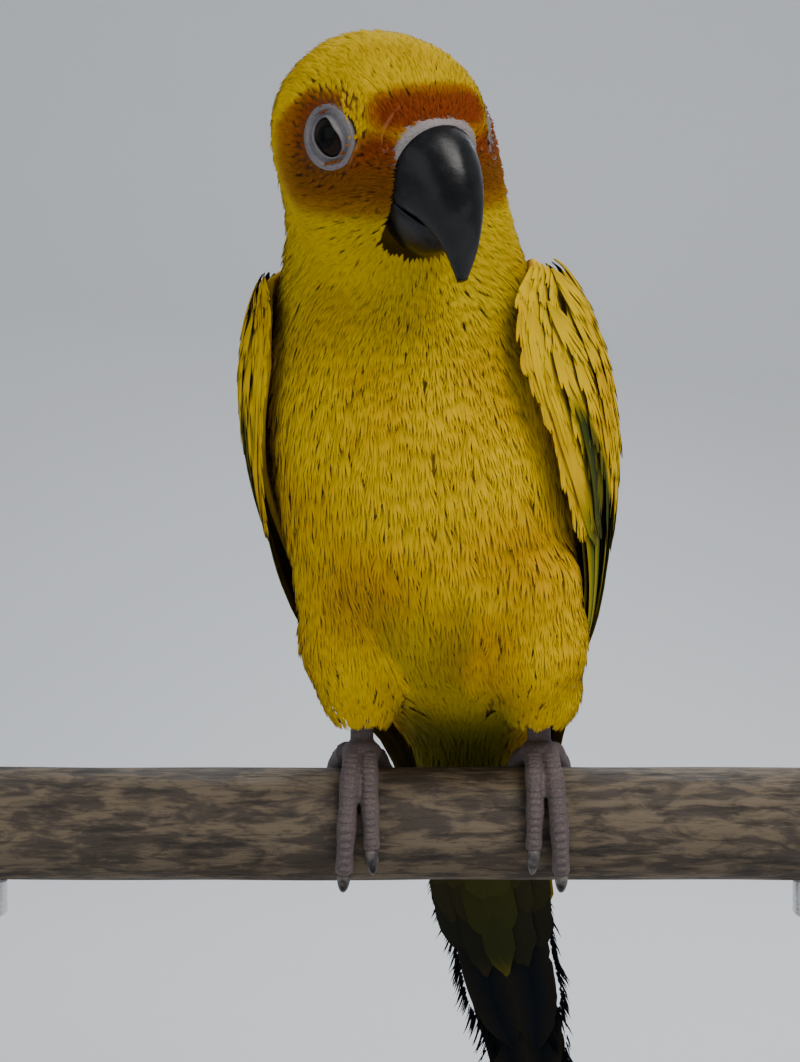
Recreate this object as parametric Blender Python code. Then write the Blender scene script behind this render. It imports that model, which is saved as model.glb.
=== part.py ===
"""Sun conure on a wooden perch: a life-size still model that grips a cut dowel on a two-post display stand.

Metres, +Z up. The bird faces -Y. The origin is the centre of the underside of the stand's base.
The flesh is a smooth field of named sections and ellipsoids. Each node is meshed from it, then parted by
thin cuts. The flight, tail and covert feathers are vanes in tiers, each united with the flesh that it
grows from.
"""
import math
import random

import bmesh
import bpy
import numpy as np
from mathutils import Matrix, Vector

# Stand and perch
BASE_SIZE = (0.172, 0.128, 0.008)
BASE_CORNER = 0.012
BASE_BEVEL = 0.0012
PERCH_RADIUS = 0.010
PERCH_LENGTH = 0.160
PERCH_SIDES = 32
TAIL_CLEARANCE = 0.007
TAIL_DROP = 0.121
PERCH_TOP = BASE_SIZE[2] + TAIL_CLEARANCE + TAIL_DROP
POST_X = 0.0748
POST_RADIUS = 0.003
CRADLE_RADIUS = 0.0048
CRADLE_HEIGHT = 0.007
PLATE_RADIUS = 0.0075
PLATE_HEIGHT = 0.0025
GAP = 0.0003

# The bird's own frame has its origin on top of the perch, midway between the feet
BIRD_PLACE = (0.009, 0.0, PERCH_TOP)
BODY_YAW = math.radians(12)
SIDEWAYS_LEAN = -0.048

# Level sections of torso and neck, from inside the tail to the skull: height, half width, front y, back y
SECTIONS = (
    (-0.040, 0.0074, 0.0325, 0.0375),
    (-0.024, 0.0086, 0.0240, 0.0350),
    (-0.012, 0.0096, 0.0185, 0.0325),
    (-0.004, 0.0108, 0.0150, 0.0312),
    (0.002, 0.0124, 0.0118, 0.0302),
    (0.008, 0.0156, 0.0020, 0.0290),
    (0.016, 0.0200, -0.0140, 0.0275),
    (0.029, 0.0242, -0.0268, 0.0246),
    (0.043, 0.0262, -0.0330, 0.0205),
    (0.057, 0.0264, -0.0370, 0.0150),
    (0.069, 0.0250, -0.0385, 0.0085),
    (0.079, 0.0224, -0.0386, 0.0018),
    (0.088, 0.0198, -0.0380, -0.0050),
    (0.097, 0.0178, -0.0375, -0.0115),
    (0.105, 0.0158, -0.0370, -0.0170),
)
# What the folded wings lie on past the rump: the same columns, over the closed tail
BED_SECTIONS = (
    (-0.085, 0.0098, 0.0480, 0.0555),
    (-0.060, 0.0110, 0.0390, 0.0502),
    (-0.035, 0.0118, 0.0290, 0.0423),
    (-0.020, 0.0122, 0.0210, 0.0380),
    (-0.008, 0.0138, 0.0120, 0.0341),
    (0.002, 0.0152, 0.0060, 0.0318),
    (0.008, 0.0180, -0.0030, 0.0300),
) + SECTIONS[6:]
SECTION_POWER = 2.15
NECK_BLEND = 0.009

# Head: place of its middle, and how it is turned to the bird's left, bowed and tipped
HEAD_CENTRE = (-0.0124, -0.0358, 0.1026)
HEAD_YAW = math.radians(33)
HEAD_BOW = math.radians(18)
HEAD_ROLL = math.radians(10)
# Its masses, as middle and radii along forward, left and up
HEAD_MASSES = (
    ((-0.0012, 0.0, 0.0012), (0.0185, 0.0152, 0.0152)),
    ((0.0080, 0.0, 0.0008), (0.0092, 0.0120, 0.0124)),
    ((0.0032, 0.0058, -0.0060), (0.0088, 0.0092, 0.0098)),
    ((0.0032, -0.0058, -0.0060), (0.0088, 0.0092, 0.0098)),
    ((0.0034, 0.0, -0.0095), (0.0092, 0.0098, 0.0090)),
)
HEAD_BLEND = 0.006

EYE_RADIUS = 0.0042
EYE_PLACE = (0.0080, 0.0106, 0.0012)
EYE_WAY = (0.34, 0.92, 0.12)
LID_RISE = 0.0026
LID_RADIUS = 0.0040
LID_THICKNESS = 0.0010

# Beak in the head's frame, from root to tip: top edge and bottom edge as (forward, up), then half width
UPPER_BEAK = (
    ((0.0125, 0.0046), (0.0092, -0.0070), 0.0064),
    ((0.0168, 0.0048), (0.0126, -0.0084), 0.0069),
    ((0.0203, 0.0032), (0.0158, -0.0093), 0.0063),
    ((0.0231, 0.0002), (0.0184, -0.0100), 0.0054),
    ((0.0251, -0.0036), (0.0204, -0.0108), 0.0044),
    ((0.0262, -0.0080), (0.0219, -0.0122), 0.0034),
    ((0.0263, -0.0126), (0.0234, -0.0146), 0.0022),
    ((0.0255, -0.0170), (0.0242, -0.0178), 0.0008),
)
LOWER_BEAK = (
    ((0.0072, -0.0072), (0.0054, -0.0132), 0.0056),
    ((0.0104, -0.0080), (0.0090, -0.0150), 0.0063),
    ((0.0138, -0.0092), (0.0128, -0.0160), 0.0065),
    ((0.0166, -0.0102), (0.0163, -0.0158), 0.0058),
    ((0.0190, -0.0112), (0.0192, -0.0148), 0.0046),
    ((0.0204, -0.0122), (0.0206, -0.0136), 0.0024),
)
CERE = (
    ((0.0116, 0.0069), (0.0106, -0.0024), 0.0076),
    ((0.0146, 0.0074), (0.0118, -0.0034), 0.0080),
    ((0.0171, 0.0068), (0.0132, -0.0046), 0.0078),
    ((0.0188, 0.0053), (0.0146, -0.0052), 0.0070),
)
BEAK_SIDES = 12
NOSTRIL_PLACE = (0.0176, 0.0030, 0.0060)
NOSTRIL_RADIUS = 0.0009

# Joins between torso, neck and head: a point and the way out of the torso
NECK_JOIN = ((-0.0085, -0.0190, 0.0765), (-0.10, -0.30, 0.95))
HEAD_JOIN = ((-0.0105, -0.0260, 0.0865), (-0.05, -0.42, 0.90))
TAIL_JOIN = ((0.0045, 0.0250, -0.0060), (0.12, 0.30, -0.94))

# Legs, for the left side: heel, middle of the thigh and its root, with the feathered leg's radius at each
LEG_X = 0.0158
THIGH = (
    ((LEG_X - 0.0004, 0.0010, 0.0075), 0.0040),
    ((LEG_X - 0.0002, -0.0030, 0.0140), 0.0070),
    ((LEG_X - 0.0006, -0.0088, 0.0230), 0.0094),
    ((LEG_X - 0.0014, -0.0135, 0.0340), 0.0104),
)
THIGH_BLEND = 0.004
THIGH_GAP = 0.0005
THIGH_TURN_HEIGHT = 0.014
THIGH_END = 0.0074
TARSUS_RADIUS = 0.0021
PALM_RADII = (0.0036, 0.0040, 0.0024)
# Toes: name, x from the foot's middle at root and tip, degrees round the perch from its top, and radii
TOES = (
    ("inner_front", -0.0012, -0.0020, 8, 100, 0.0018, 0.0014),
    ("outer_front", 0.0014, 0.0028, 8, 122, 0.0019, 0.0015),
    ("inner_back", -0.0014, -0.0062, -8, -78, 0.0018, 0.0014),
    ("outer_back", 0.0026, 0.0084, -8, -104, 0.0020, 0.0014),
)
TOE_STATIONS = 6
TOE_SIDES = 8
CLAW_LENGTH = 0.0062
CLAW_RADIUS = 0.0012
CLAW_CURL = math.radians(75)
CLAW_TAPER = (1.0, 0.88, 0.68, 0.43, 0.18)
CLAW_HOOK = 0.55
# Bare leg from the feathered heel down to the palm: x away from the foot's middle, y and z
TARSUS = ((-0.0002, 0.0012, THIGH_END - GAP), (0.0, 0.0008, 0.0052), (0.0, 0.0004, 0.0030))

# Tail, in its own frame along its axis: feathers of one side from the middle outwards
TAIL_ROOT = (0.0043, 0.0262, -0.0060)
TAIL_WAY = (0.205, 0.285, -0.936)
TAIL_PAIRS = 6
TAIL_LENGTH = 0.1215
TAIL_STEP = 0.0118
TAIL_PITCH = 0.00082
TAIL_VANE = 0.0074
TAIL_FAN = 0.0005
VANE_THICKNESS = 0.0005
VANE_ROOT = 0.72
VANE_SHOULDER = 0.75
VANE_TIP = 0.45
TAIL_TILT = 0.06
TAIL_TOP = 0.0021
TAIL_START = 0.004
# Marks along a tail feather, as shares of its length, of its middle's distance from the axis and of its lift
TAIL_MARKS = ((0.27, 0.92, 0.90), (0.52, 1.0, 0.90), (0.77, 1.0, 0.85), (1.0, 0.5, 0.75))
# Coverts over and under the tail's root: side, lift, lift at the root, then the lengths of the tiers
TAIL_COVERTS = ((1, 0.0042, 0.0020, (0.020, 0.032)), (-1, 0.0036, 0.0016, (0.024, 0.037)))
COVERT_COUNT = 3
COVERT_SPREAD = 0.0150
COVERT_WIDTH = 0.0072
COVERT_START = 0.002
COVERT_STEP = 0.008
COVERT_SINK = 0.0009
COVERT_SLOPE = 0.10
COVERT_DIP = 0.0008
COVERT_TILT = 0.16

# Wing, laid on the body: rows of height, front angle, back angle and thickness.
# Angles run from the side towards the back.
WING_ROWS = (
    (0.0865, 8, 40, 0.0006),
    (0.0835, -14, 58, 0.0026),
    (0.0770, -30, 68, 0.0040),
    (0.0680, -36, 71, 0.0045),
    (0.0560, -26, 72, 0.0042),
    (0.0440, -8, 73, 0.0030),
    (0.0320, 6, 74, 0.0020),
    (0.0210, 18, 74, 0.0013),
    (0.0120, 32, 70, 0.0007),
)
# Feather tiers: count, width, tilt, then marks of height, angle and lift for the first feather and the last
PRIMARIES = (
    6, 0.0076, 0.16,
    (
        (0.058, -22, 0.0018), (0.034, 2, 0.0014), (0.010, 24, 0.0013),
        (-0.016, 42, 0.0012), (-0.048, 47, 0.0010),
    ),
    ((0.056, 6, 0.0036), (0.036, 22, 0.0036), (0.018, 38, 0.0036), (0.000, 50, 0.0036), (-0.016, 52, 0.0034)),
)
SECONDARIES = (
    5, 0.0100, 0.20,
    ((0.062, -2, 0.0026), (0.044, 14, 0.0044), (0.026, 28, 0.0042), (0.006, 40, 0.0040)),
    ((0.066, 44, 0.0028), (0.046, 56, 0.0048), (0.024, 64, 0.0046), (0.000, 70, 0.0042)),
)
GREATER_COVERTS = (
    5, 0.0108, 0.16,
    ((0.070, -26, 0.0028), (0.058, -19, 0.0054), (0.038, 2, 0.0050)),
    ((0.072, 60, 0.0026), (0.058, 64, 0.0046), (0.037, 68, 0.0044)),
)
MEDIAN_COVERTS = (
    5, 0.0106, 0.14,
    ((0.081, -20, 0.0014), (0.072, -29, 0.0056), (0.057, -20, 0.0064)),
    ((0.082, 48, 0.0012), (0.072, 60, 0.0050), (0.055, 64, 0.0052)),
)
WING_TIERS = (PRIMARIES, SECONDARIES, GREATER_COVERTS, MEDIAN_COVERTS)
# The right wing is drawn in closer to the body than the left
WING_LIFT = {1: 1.0, -1: 0.58}
CORE_COLUMNS = 7
# Stations along a vane that has this many marks
STATIONS = {3: 3, 4: 5, 5: 7}
FLESH_STEP = 0.0056
HEAD_STEP = 0.0033
THIGH_STEP = 0.0034
SLOPE_STEP = 0.0001
WING_BED = 0.0011


def through(places, values, at):
    """A smooth curve through the values, read at a place or an array of places, held level past its ends."""
    places, values = np.asarray(places, float), np.asarray(values, float)
    slopes = np.gradient(values, places)
    at = np.clip(at, places[0], places[-1])
    i = np.clip(np.searchsorted(places, at) - 1, 0, len(places) - 2)
    width = places[i + 1] - places[i]
    t = (at - places[i]) / width
    rise = t * t * (3 - 2 * t)
    bend = width * t * (1 - t) * (slopes[i] * (1 - t) - slopes[i + 1] * t)
    return values[i] * (1 - rise) + values[i + 1] * rise + bend


def smooth_min(a, b, blend):
    share = np.clip(0.5 + 0.5 * (b - a) / blend, 0, 1)
    return b * (1 - share) + a * share - blend * share * (1 - share)


def turned(yaw, bow=0.0, roll=0.0):
    """Columns are the forward, left and up directions of a frame that faces -Y before it is turned."""
    facing = np.array([[0, 1, 0], [-1, 0, 0], [0, 0, 1]], float)
    spin = np.array(Matrix.Rotation(yaw, 3, "Z"))
    nod = np.array(Matrix.Rotation(bow, 3, "X"))
    tip = np.array(Matrix.Rotation(roll, 3, "Y"))
    return spin @ nod @ tip @ facing


BODY_AXES = turned(-BODY_YAW)
HEAD_AXES = turned(HEAD_YAW, HEAD_BOW, -HEAD_ROLL)
BODY_COLUMNS = np.stack([BODY_AXES[:, 1], -BODY_AXES[:, 0], BODY_AXES[:, 2]], axis=1)


def head_point(place):
    """A place given along the head's forward, left and up directions, in the bird's frame."""
    return np.asarray(HEAD_CENTRE) + np.asarray(place) @ HEAD_AXES.T


def ellipsoid(points, radii):
    scaled = points / radii
    size = np.linalg.norm(scaled, axis=-1)
    return size * (size - 1) / np.maximum(np.linalg.norm(scaled / radii, axis=-1), 1e-9)


def section(z, sections):
    """Half width, middle y and half depth of the sections at a height."""
    heights, half_widths, fronts, backs = np.array(sections).T
    front = through(heights, fronts, z)
    back = through(heights, backs, z)
    return through(heights, half_widths, z), (front + back) / 2, (back - front) / 2


def lofted(points, sections):
    """How far points are outside the sides of a stack of sections."""
    x, y, z = np.moveaxis(points @ BODY_COLUMNS, -1, 0)
    half_width, middle, half_depth = section(z, sections)
    x = x - SIDEWAYS_LEAN * z
    y = y - middle
    reach = np.hypot(x, y)
    power = SECTION_POWER
    share = (np.abs(x / half_width) ** power + np.abs(y / half_depth) ** power) ** (1 / power)
    return 0.95 * (reach - reach / np.maximum(share, 1e-6))


def torso_field(points):
    z = (points @ BODY_COLUMNS)[..., 2]
    ends = np.maximum(z - SECTIONS[-1][0], SECTIONS[0][0] - z)
    return np.maximum(lofted(points, SECTIONS), ends)


def head_field(points):
    local = (points - np.asarray(HEAD_CENTRE)) @ HEAD_AXES
    value = None
    for middle, radii in HEAD_MASSES:
        mass = ellipsoid(local - np.asarray(middle), np.asarray(radii))
        value = mass if value is None else smooth_min(value, mass, HEAD_BLEND)
    return value


def flesh_field(points):
    return smooth_min(torso_field(points), head_field(points), NECK_BLEND)


def cone_field(points, a, a_radius, b, b_radius):
    """A round cone from a to b."""
    a, b = np.asarray(a), np.asarray(b)
    t = np.clip((points - a) @ (b - a) / ((b - a) @ (b - a)), 0, 1)
    nearest = a + t[..., None] * (b - a)
    return np.linalg.norm(points - nearest, axis=-1) - (a_radius + (b_radius - a_radius) * t)


def thigh_field(side):
    """A feathered leg that turns with the body as it rises from its heel."""
    marks = []
    for (x, y, z), radius in THIGH:
        still = np.array([side * x, y, z])
        share = min(1.0, max(0.0, (z - THIGH_END) / THIGH_TURN_HEIGHT))
        marks.append((still * (1 - share) + still @ BODY_COLUMNS.T * share, radius))

    def field(points):
        value = None
        for (a, a_radius), (b, b_radius) in zip(marks, marks[1:]):
            cone = cone_field(points, a, a_radius, b, b_radius)
            value = cone if value is None else smooth_min(value, cone, THIGH_BLEND)
        return value

    return field


def grown_flesh(points):
    return flesh_field(points) - THIGH_GAP


def laid_on(field, points):
    """The points moved along the field's slope to its zero level."""
    for _ in range(3):
        rise = []
        for axis in SLOPE_STEP * np.eye(3):
            rise.append((field(points + axis) - field(points - axis)) / (2 * SLOPE_STEP))
        way = np.stack(rise, axis=-1)
        points = points - field(points)[:, None] * way / np.maximum((way**2).sum(1, keepdims=True), 0.05)
    return points


def meshed(field, low, high, step):
    """The field's zero level as points and quads, one point for each cell that it passes through."""
    axes = [np.arange(a, b + step, step) for a, b in zip(low, high)]
    grid = np.stack(np.meshgrid(*axes, indexing="ij"), axis=-1)
    value = field(grid.reshape(-1, 3)).reshape(grid.shape[:3])
    inside = value < 0
    cells = tuple(n - 1 for n in inside.shape)
    total = np.zeros(cells + (3,))
    count = np.zeros(cells)
    corners = np.array(np.meshgrid([0, 1], [0, 1], [0, 1], indexing="ij")).reshape(3, -1).T

    def shifted(array, offset):
        i, j, k = offset
        return array[i : i + cells[0], j : j + cells[1], k : k + cells[2]]

    for axis in range(3):
        for start in corners[corners[:, axis] == 0]:
            end = start + np.eye(3, dtype=int)[axis]
            a, b = shifted(value, start), shifted(value, end)
            crossing = (a < 0) != (b < 0)
            t = np.where(crossing, a / np.where(crossing, a - b, 1), 0)[..., None]
            place = shifted(grid, start) * (1 - t) + shifted(grid, end) * t
            total += np.where(crossing[..., None], place, 0)
            count += crossing
    used = count > 0
    number = np.full(cells, -1)
    number[used] = np.arange(used.sum())
    points = laid_on(field, total[used] / count[used][:, None])
    quads = []
    for axis in range(3):
        u, v = (axis + 1) % 3, (axis + 2) % 3
        near = [slice(None)] * 3
        far = [slice(None)] * 3
        near[axis], far[axis] = slice(0, -1), slice(1, None)
        a, b = inside[tuple(near)], inside[tuple(far)]
        at = np.argwhere(a != b)
        at = at[(at[:, u] > 0) & (at[:, v] > 0) & (at[:, u] < cells[u]) & (at[:, v] < cells[v])]
        du, dv = np.eye(3, dtype=int)[u], np.eye(3, dtype=int)[v]
        ring = np.stack([at - du - dv, at - dv, at, at - du], axis=1)
        faces = number[ring[..., 0], ring[..., 1], ring[..., 2]]
        outward = a[at[:, 0], at[:, 1], at[:, 2]]
        quads.append(np.where(outward[:, None], faces, faces[:, ::-1]))
    return points, np.concatenate(quads)


def material(name, colour, roughness, metallic=0.0):
    made = bpy.data.materials.new(name)
    made.use_nodes = True
    shader = made.node_tree.nodes["Principled BSDF"]
    shader.inputs["Base Color"].default_value = (*colour, 1)
    shader.inputs["Roughness"].default_value = roughness
    shader.inputs["Metallic"].default_value = metallic
    made.diffuse_color = (*colour, 1)
    return made


def bmesh_of(points, faces):
    bm = bmesh.new()
    corners = [bm.verts.new(p) for p in points]
    for face in faces:
        bm.faces.new([corners[i] for i in face])
    return bm


def added(name, bm, finish=None, parent=None, smooth=True):
    """A named object from a bmesh, with its faces pointing outwards."""
    bmesh.ops.remove_doubles(bm, verts=bm.verts, dist=0.000005)
    bmesh.ops.recalc_face_normals(bm, faces=bm.faces)
    mesh = bpy.data.meshes.new(name)
    bm.to_mesh(mesh)
    bm.free()
    if smooth:
        mesh.shade_smooth()
        mesh.set_sharp_from_angle(angle=math.radians(40))
    if finish:
        mesh.materials.append(finish)
    made = bpy.data.objects.new(name, mesh)
    bpy.context.scene.collection.objects.link(made)
    made.parent = parent
    return made


def parted(bm, join, keep):
    """The bmesh cut at a join and capped, with what lies past the join (keep 1) or before it (keep -1)."""
    point, way = Vector(join[0]), Vector(join[1]).normalized()
    place = point + way * keep * GAP / 2
    everything = bm.verts[:] + bm.edges[:] + bm.faces[:]
    bmesh.ops.bisect_plane(
        bm, geom=everything, dist=0.00002, plane_co=place, plane_no=way * -keep, clear_outer=True
    )
    bmesh.ops.holes_fill(bm, edges=[e for e in bm.edges if e.is_boundary])
    return bm


def largest(target):
    """Keeps only the largest closed surface of an object's mesh."""
    bm = bmesh.new()
    bm.from_mesh(target.data)
    bmesh.ops.remove_doubles(bm, verts=bm.verts, dist=0.0000001)
    left = set(bm.faces)
    best, best_volume = set(), -1.0
    while left:
        island, edge = set(), [left.pop()]
        while edge:
            face = edge.pop()
            island.add(face)
            for side in face.edges:
                for other in side.link_faces:
                    if other in left:
                        left.remove(other)
                        edge.append(other)
        reach = np.array([v.co[:] for f in island for v in f.verts])
        volume = float(np.prod(reach.max(0) - reach.min(0)))
        if volume > best_volume:
            best, best_volume = island, volume
    bmesh.ops.delete(bm, geom=[f for f in bm.faces if f not in best], context="FACES")
    bm.to_mesh(target.data)
    bm.free()


def combined(target, pieces, operation="UNION", solver="EXACT"):
    """One Boolean of an object with a collection of closed mesh objects, which are then removed."""
    parent, target.parent = target.parent, None
    group = bpy.data.collections.new(target.name + "_pieces")
    bpy.context.scene.collection.children.link(group)
    for piece in pieces:
        bpy.context.scene.collection.objects.unlink(piece)
        group.objects.link(piece)
    modifier = target.modifiers.new("pieces", "BOOLEAN")
    modifier.operation = operation
    modifier.solver = solver
    modifier.operand_type = "COLLECTION"
    modifier.collection = group
    bpy.context.view_layer.update()
    evaluated = target.evaluated_get(bpy.context.evaluated_depsgraph_get())
    result = bpy.data.meshes.new_from_object(evaluated)
    target.modifiers.remove(modifier)
    old = target.data
    target.data = result
    bpy.data.meshes.remove(old)
    for piece in pieces:
        bpy.data.objects.remove(piece)
    bpy.data.collections.remove(group)
    largest(target)
    target.parent = parent
    return target


def ringed(rings):
    """A closed bmesh through rings of points of the same count."""
    sides = len(rings[0])
    faces = [list(range(sides))[::-1], [(len(rings) - 1) * sides + i for i in range(sides)]]
    for ring in range(len(rings) - 1):
        for i in range(sides):
            j = (i + 1) % sides
            faces.append([ring * sides + i, ring * sides + j, (ring + 1) * sides + j, (ring + 1) * sides + i])
    return bmesh_of(np.concatenate(rings), faces)


def tube(path, radii, sides, blunt=0.5):
    """A closed round tube along a path of points, with a shorter ring at both ends."""
    path = np.asarray(path, float)
    ways = np.gradient(path, axis=0)
    ways /= np.linalg.norm(ways, axis=1, keepdims=True)
    side = np.cross(ways[0], (1.0, 0.0, 0.0))
    if np.linalg.norm(side) < 0.1:
        side = np.cross(ways[0], (0.0, 1.0, 0.0))
    angles = np.linspace(0, 2 * math.pi, sides, endpoint=False)
    rings = []
    for place, way, radius in zip(path, ways, radii):
        side = side - way * (side @ way)
        side /= np.linalg.norm(side)
        up = np.cross(way, side)
        rings.append(place + radius * (np.outer(np.cos(angles), side) + np.outer(np.sin(angles), up)))
    first = path[0] - ways[0] * radii[0] * blunt + (rings[0] - path[0]) * 0.6
    last = path[-1] + ways[-1] * radii[-1] * blunt + (rings[-1] - path[-1]) * 0.6
    return ringed([first] + rings + [last])


def cylinder(place, radius, height, sides):
    """An upright cylinder that stands on a place."""
    angles = np.linspace(0, 2 * math.pi, sides, endpoint=False)
    ring = np.stack([radius * np.cos(angles), radius * np.sin(angles), 0 * angles], axis=1) + place
    return ringed([ring, ring + (0, 0, height)])


def beak_form(stations, grow=0.0):
    """A closed form through the beak's stations, in the bird's frame, grown on all sides."""
    angles = np.linspace(0, 2 * math.pi, BEAK_SIDES, endpoint=False) + math.pi / BEAK_SIDES
    rings = []
    for top, bottom, half_width in stations:
        top, bottom = np.array(top), np.array(bottom)
        middle, half = (top + bottom) / 2, (top - bottom) / 2
        half = half * (1 + grow / np.linalg.norm(half))
        rounded = np.sign(np.cos(angles)) * np.abs(np.cos(angles)) ** 0.9
        along = middle + np.outer(np.sin(angles), half)
        across = (half_width + grow) * rounded
        rings.append(np.stack([along[:, 0], across, along[:, 1]], axis=1))
    if grow:
        first, last = rings[0] - rings[1], rings[-1] - rings[-2]
        rings.insert(0, rings[0] + first * grow / np.linalg.norm(first.mean(0)))
        rings.append(rings[-1] + last * grow / np.linalg.norm(last.mean(0)))
    return ringed([head_point(r) for r in rings])


def ball(place, radius, rings=12, sides=16, radii=None):
    bm = bmesh.new()
    bmesh.ops.create_uvsphere(bm, u_segments=sides, v_segments=rings, radius=1.0)
    size = radii if radii is not None else (radius,) * 3
    bmesh.ops.scale(bm, vec=Vector([float(s) for s in size]), verts=bm.verts)
    bmesh.ops.translate(bm, vec=Vector([float(p) for p in place]), verts=bm.verts)
    return bm


def ring_of(place, way, radius, thickness, sides=18, around=8):
    """A torus about a direction."""
    way = Vector([float(w) for w in way]).normalized()
    turn = Vector((0, 0, 1)).rotation_difference(way).to_matrix()
    rings = []
    for i in range(sides):
        a = 2 * math.pi * i / sides
        out = Vector((math.cos(a), math.sin(a), 0))
        ring = []
        for j in range(around):
            b = 2 * math.pi * j / around
            local = out * (radius + thickness * math.cos(b)) + Vector((0, 0, thickness * math.sin(b)))
            ring.append(list(turn @ local + Vector([float(p) for p in place])))
        rings.append(ring)
    points = np.array(rings).reshape(-1, 3)
    faces = []
    for i in range(sides):
        for j in range(around):
            n, m = (i + 1) % sides, (j + 1) % around
            faces.append([i * around + j, n * around + j, n * around + m, i * around + m])
    return bmesh_of(points, faces)


def vane(path, normals, width, tilt):
    """A closed feather vane along a path: full past its root, round at its tip, tilted across by tilt."""
    path, normals = np.asarray(path, float), np.asarray(normals, float)
    count = len(path)
    s = np.linspace(0, 1, count)
    outline = VANE_ROOT + (1 - VANE_ROOT) * np.sin(np.clip(s / VANE_SHOULDER, 0, 1) * math.pi / 2)
    past = np.clip((s - VANE_SHOULDER) / (1 - VANE_SHOULDER), 0, 1)
    outline = outline * np.sqrt(1 - past**2 * (1 - VANE_TIP**2))
    ways = np.gradient(path, axis=0)
    ways /= np.linalg.norm(ways, axis=1, keepdims=True)
    across = np.cross(normals, ways)
    across /= np.linalg.norm(across, axis=1, keepdims=True)
    up = np.cross(ways, across)
    half = (width / 2 * outline)[:, None]
    lean = half * tilt
    lift = up * VANE_THICKNESS / 2
    left = path + across * half + up * lean
    right = path - across * half - up * lean
    ring = np.stack([left + lift, right + lift, right - lift, left - lift], axis=1)
    faces = [[0, 1, 2], [0, 2, 3]]
    for i in range(count - 1):
        a, b = i * 4, (i + 1) * 4
        for j in range(4):
            k = (j + 1) % 4
            if j == 2:
                faces += [[a + j, b + k, a + k], [a + j, b + j, b + k]]
            else:
                faces += [[a + j, b + j, a + k], [a + k, b + j, b + k]]
    last = (count - 1) * 4
    faces += [[last, last + 2, last + 1], [last, last + 3, last + 2]]
    return bmesh_of(ring.reshape(-1, 3), faces)


def bed_places(side, marks, stations, sections=BED_SECTIONS):
    """Points and outward normals along marks of height, angle and lift over one side of the body."""
    marks = np.array(marks, float)
    t = np.linspace(0, 1, stations)
    z, angle, lift = (through(np.linspace(0, 1, len(marks)), column, t) for column in marks.T)

    def place(z, angle):
        half_width, middle, half_depth = section(z, sections)
        c, s = np.cos(np.radians(angle)), np.sin(np.radians(angle))
        power = SECTION_POWER
        reach = ((np.abs(c) / half_width) ** power + (np.abs(s) / half_depth) ** power) ** (-1 / power)
        x = SIDEWAYS_LEAN * z + side * reach * c
        return np.stack([x, middle + reach * s, z], axis=-1)

    here = place(z, angle)
    normals = side * np.cross(place(z, angle + 1) - here, place(z + 0.0005, angle) - here)
    normals /= np.linalg.norm(normals, axis=1, keepdims=True)
    return (here + normals * lift[:, None]) @ BODY_COLUMNS.T, normals @ BODY_COLUMNS.T


def wing_core(side):
    """The closed pad of a folded wing: its inner face is GAP off the body, its outer face rounded across."""
    v = np.linspace(0, 1, CORE_COLUMNS)
    inner, outer = [], []
    for z, front, back, thickness in WING_ROWS:
        angles = front + (back - front) * v
        bulge = thickness * WING_LIFT[side] * np.sqrt(np.clip(np.sin(v * math.pi), 0.0, 1)) + 0.0004
        inner.append(bed_places(side, [(z, a, WING_BED) for a in angles], CORE_COLUMNS)[0])
        outer.append(bed_places(side, [(z, a, WING_BED + b) for a, b in zip(angles, bulge)], CORE_COLUMNS)[0])
    inner, outer = np.array(inner), np.array(outer)
    rings = [np.concatenate([o, i[::-1]]) for o, i in zip(outer, inner)]
    bm = ringed(rings)
    bmesh.ops.triangulate(bm, faces=bm.faces)
    return bm


def between(first, last, t):
    return np.array(first) * (1 - t) + np.array(last) * t


def wing(side, finish, parent):
    """A folded wing: pad, then primaries, secondaries and two tiers of coverts."""
    draw = random.Random(3 + side)
    pieces = []
    for count, width, tilt, first, last in WING_TIERS:
        for i in range(count):
            marks = between(first, last, i / (count - 1))
            marks[-1][0] += draw.uniform(-0.0008, 0.0008)
            marks[:, 1] += draw.uniform(-0.6, 0.6)
            clear = GAP + VANE_THICKNESS / 2
            marks[:, 2] = clear + (marks[:, 2] - clear) * WING_LIFT[side]
            path, normals = bed_places(side, marks, STATIONS[len(marks)])
            pieces.append(added("vane", vane(path, normals, width * draw.uniform(0.95, 1.05), -side * tilt)))
    name = "wing_left" if side > 0 else "wing_right"
    return combined(added(name, wing_core(side), finish, parent), pieces, solver="MANIFOLD")


def tail_frame():
    way = np.array(TAIL_WAY) / np.linalg.norm(TAIL_WAY)
    dorsal = BODY_COLUMNS[:, 1] - way * (BODY_COLUMNS[:, 1] @ way)
    dorsal /= np.linalg.norm(dorsal)
    return way, dorsal, np.cross(way, dorsal)


def tail_vane(marks, width, tilt):
    """A vane along marks of distance along the tail, distance to the bird's left and lift to its back."""
    way, dorsal, left = tail_frame()
    stations = 5
    marks = np.array(marks, float)
    t = np.linspace(0, 1, stations)
    along, across, lift = (through(np.linspace(0, 1, len(marks)), column, t) for column in marks.T)
    path = np.asarray(TAIL_ROOT) + along[:, None] * way + across[:, None] * left + lift[:, None] * dorsal
    return vane(path, np.tile(dorsal, (stations, 1)), width, tilt)


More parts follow.
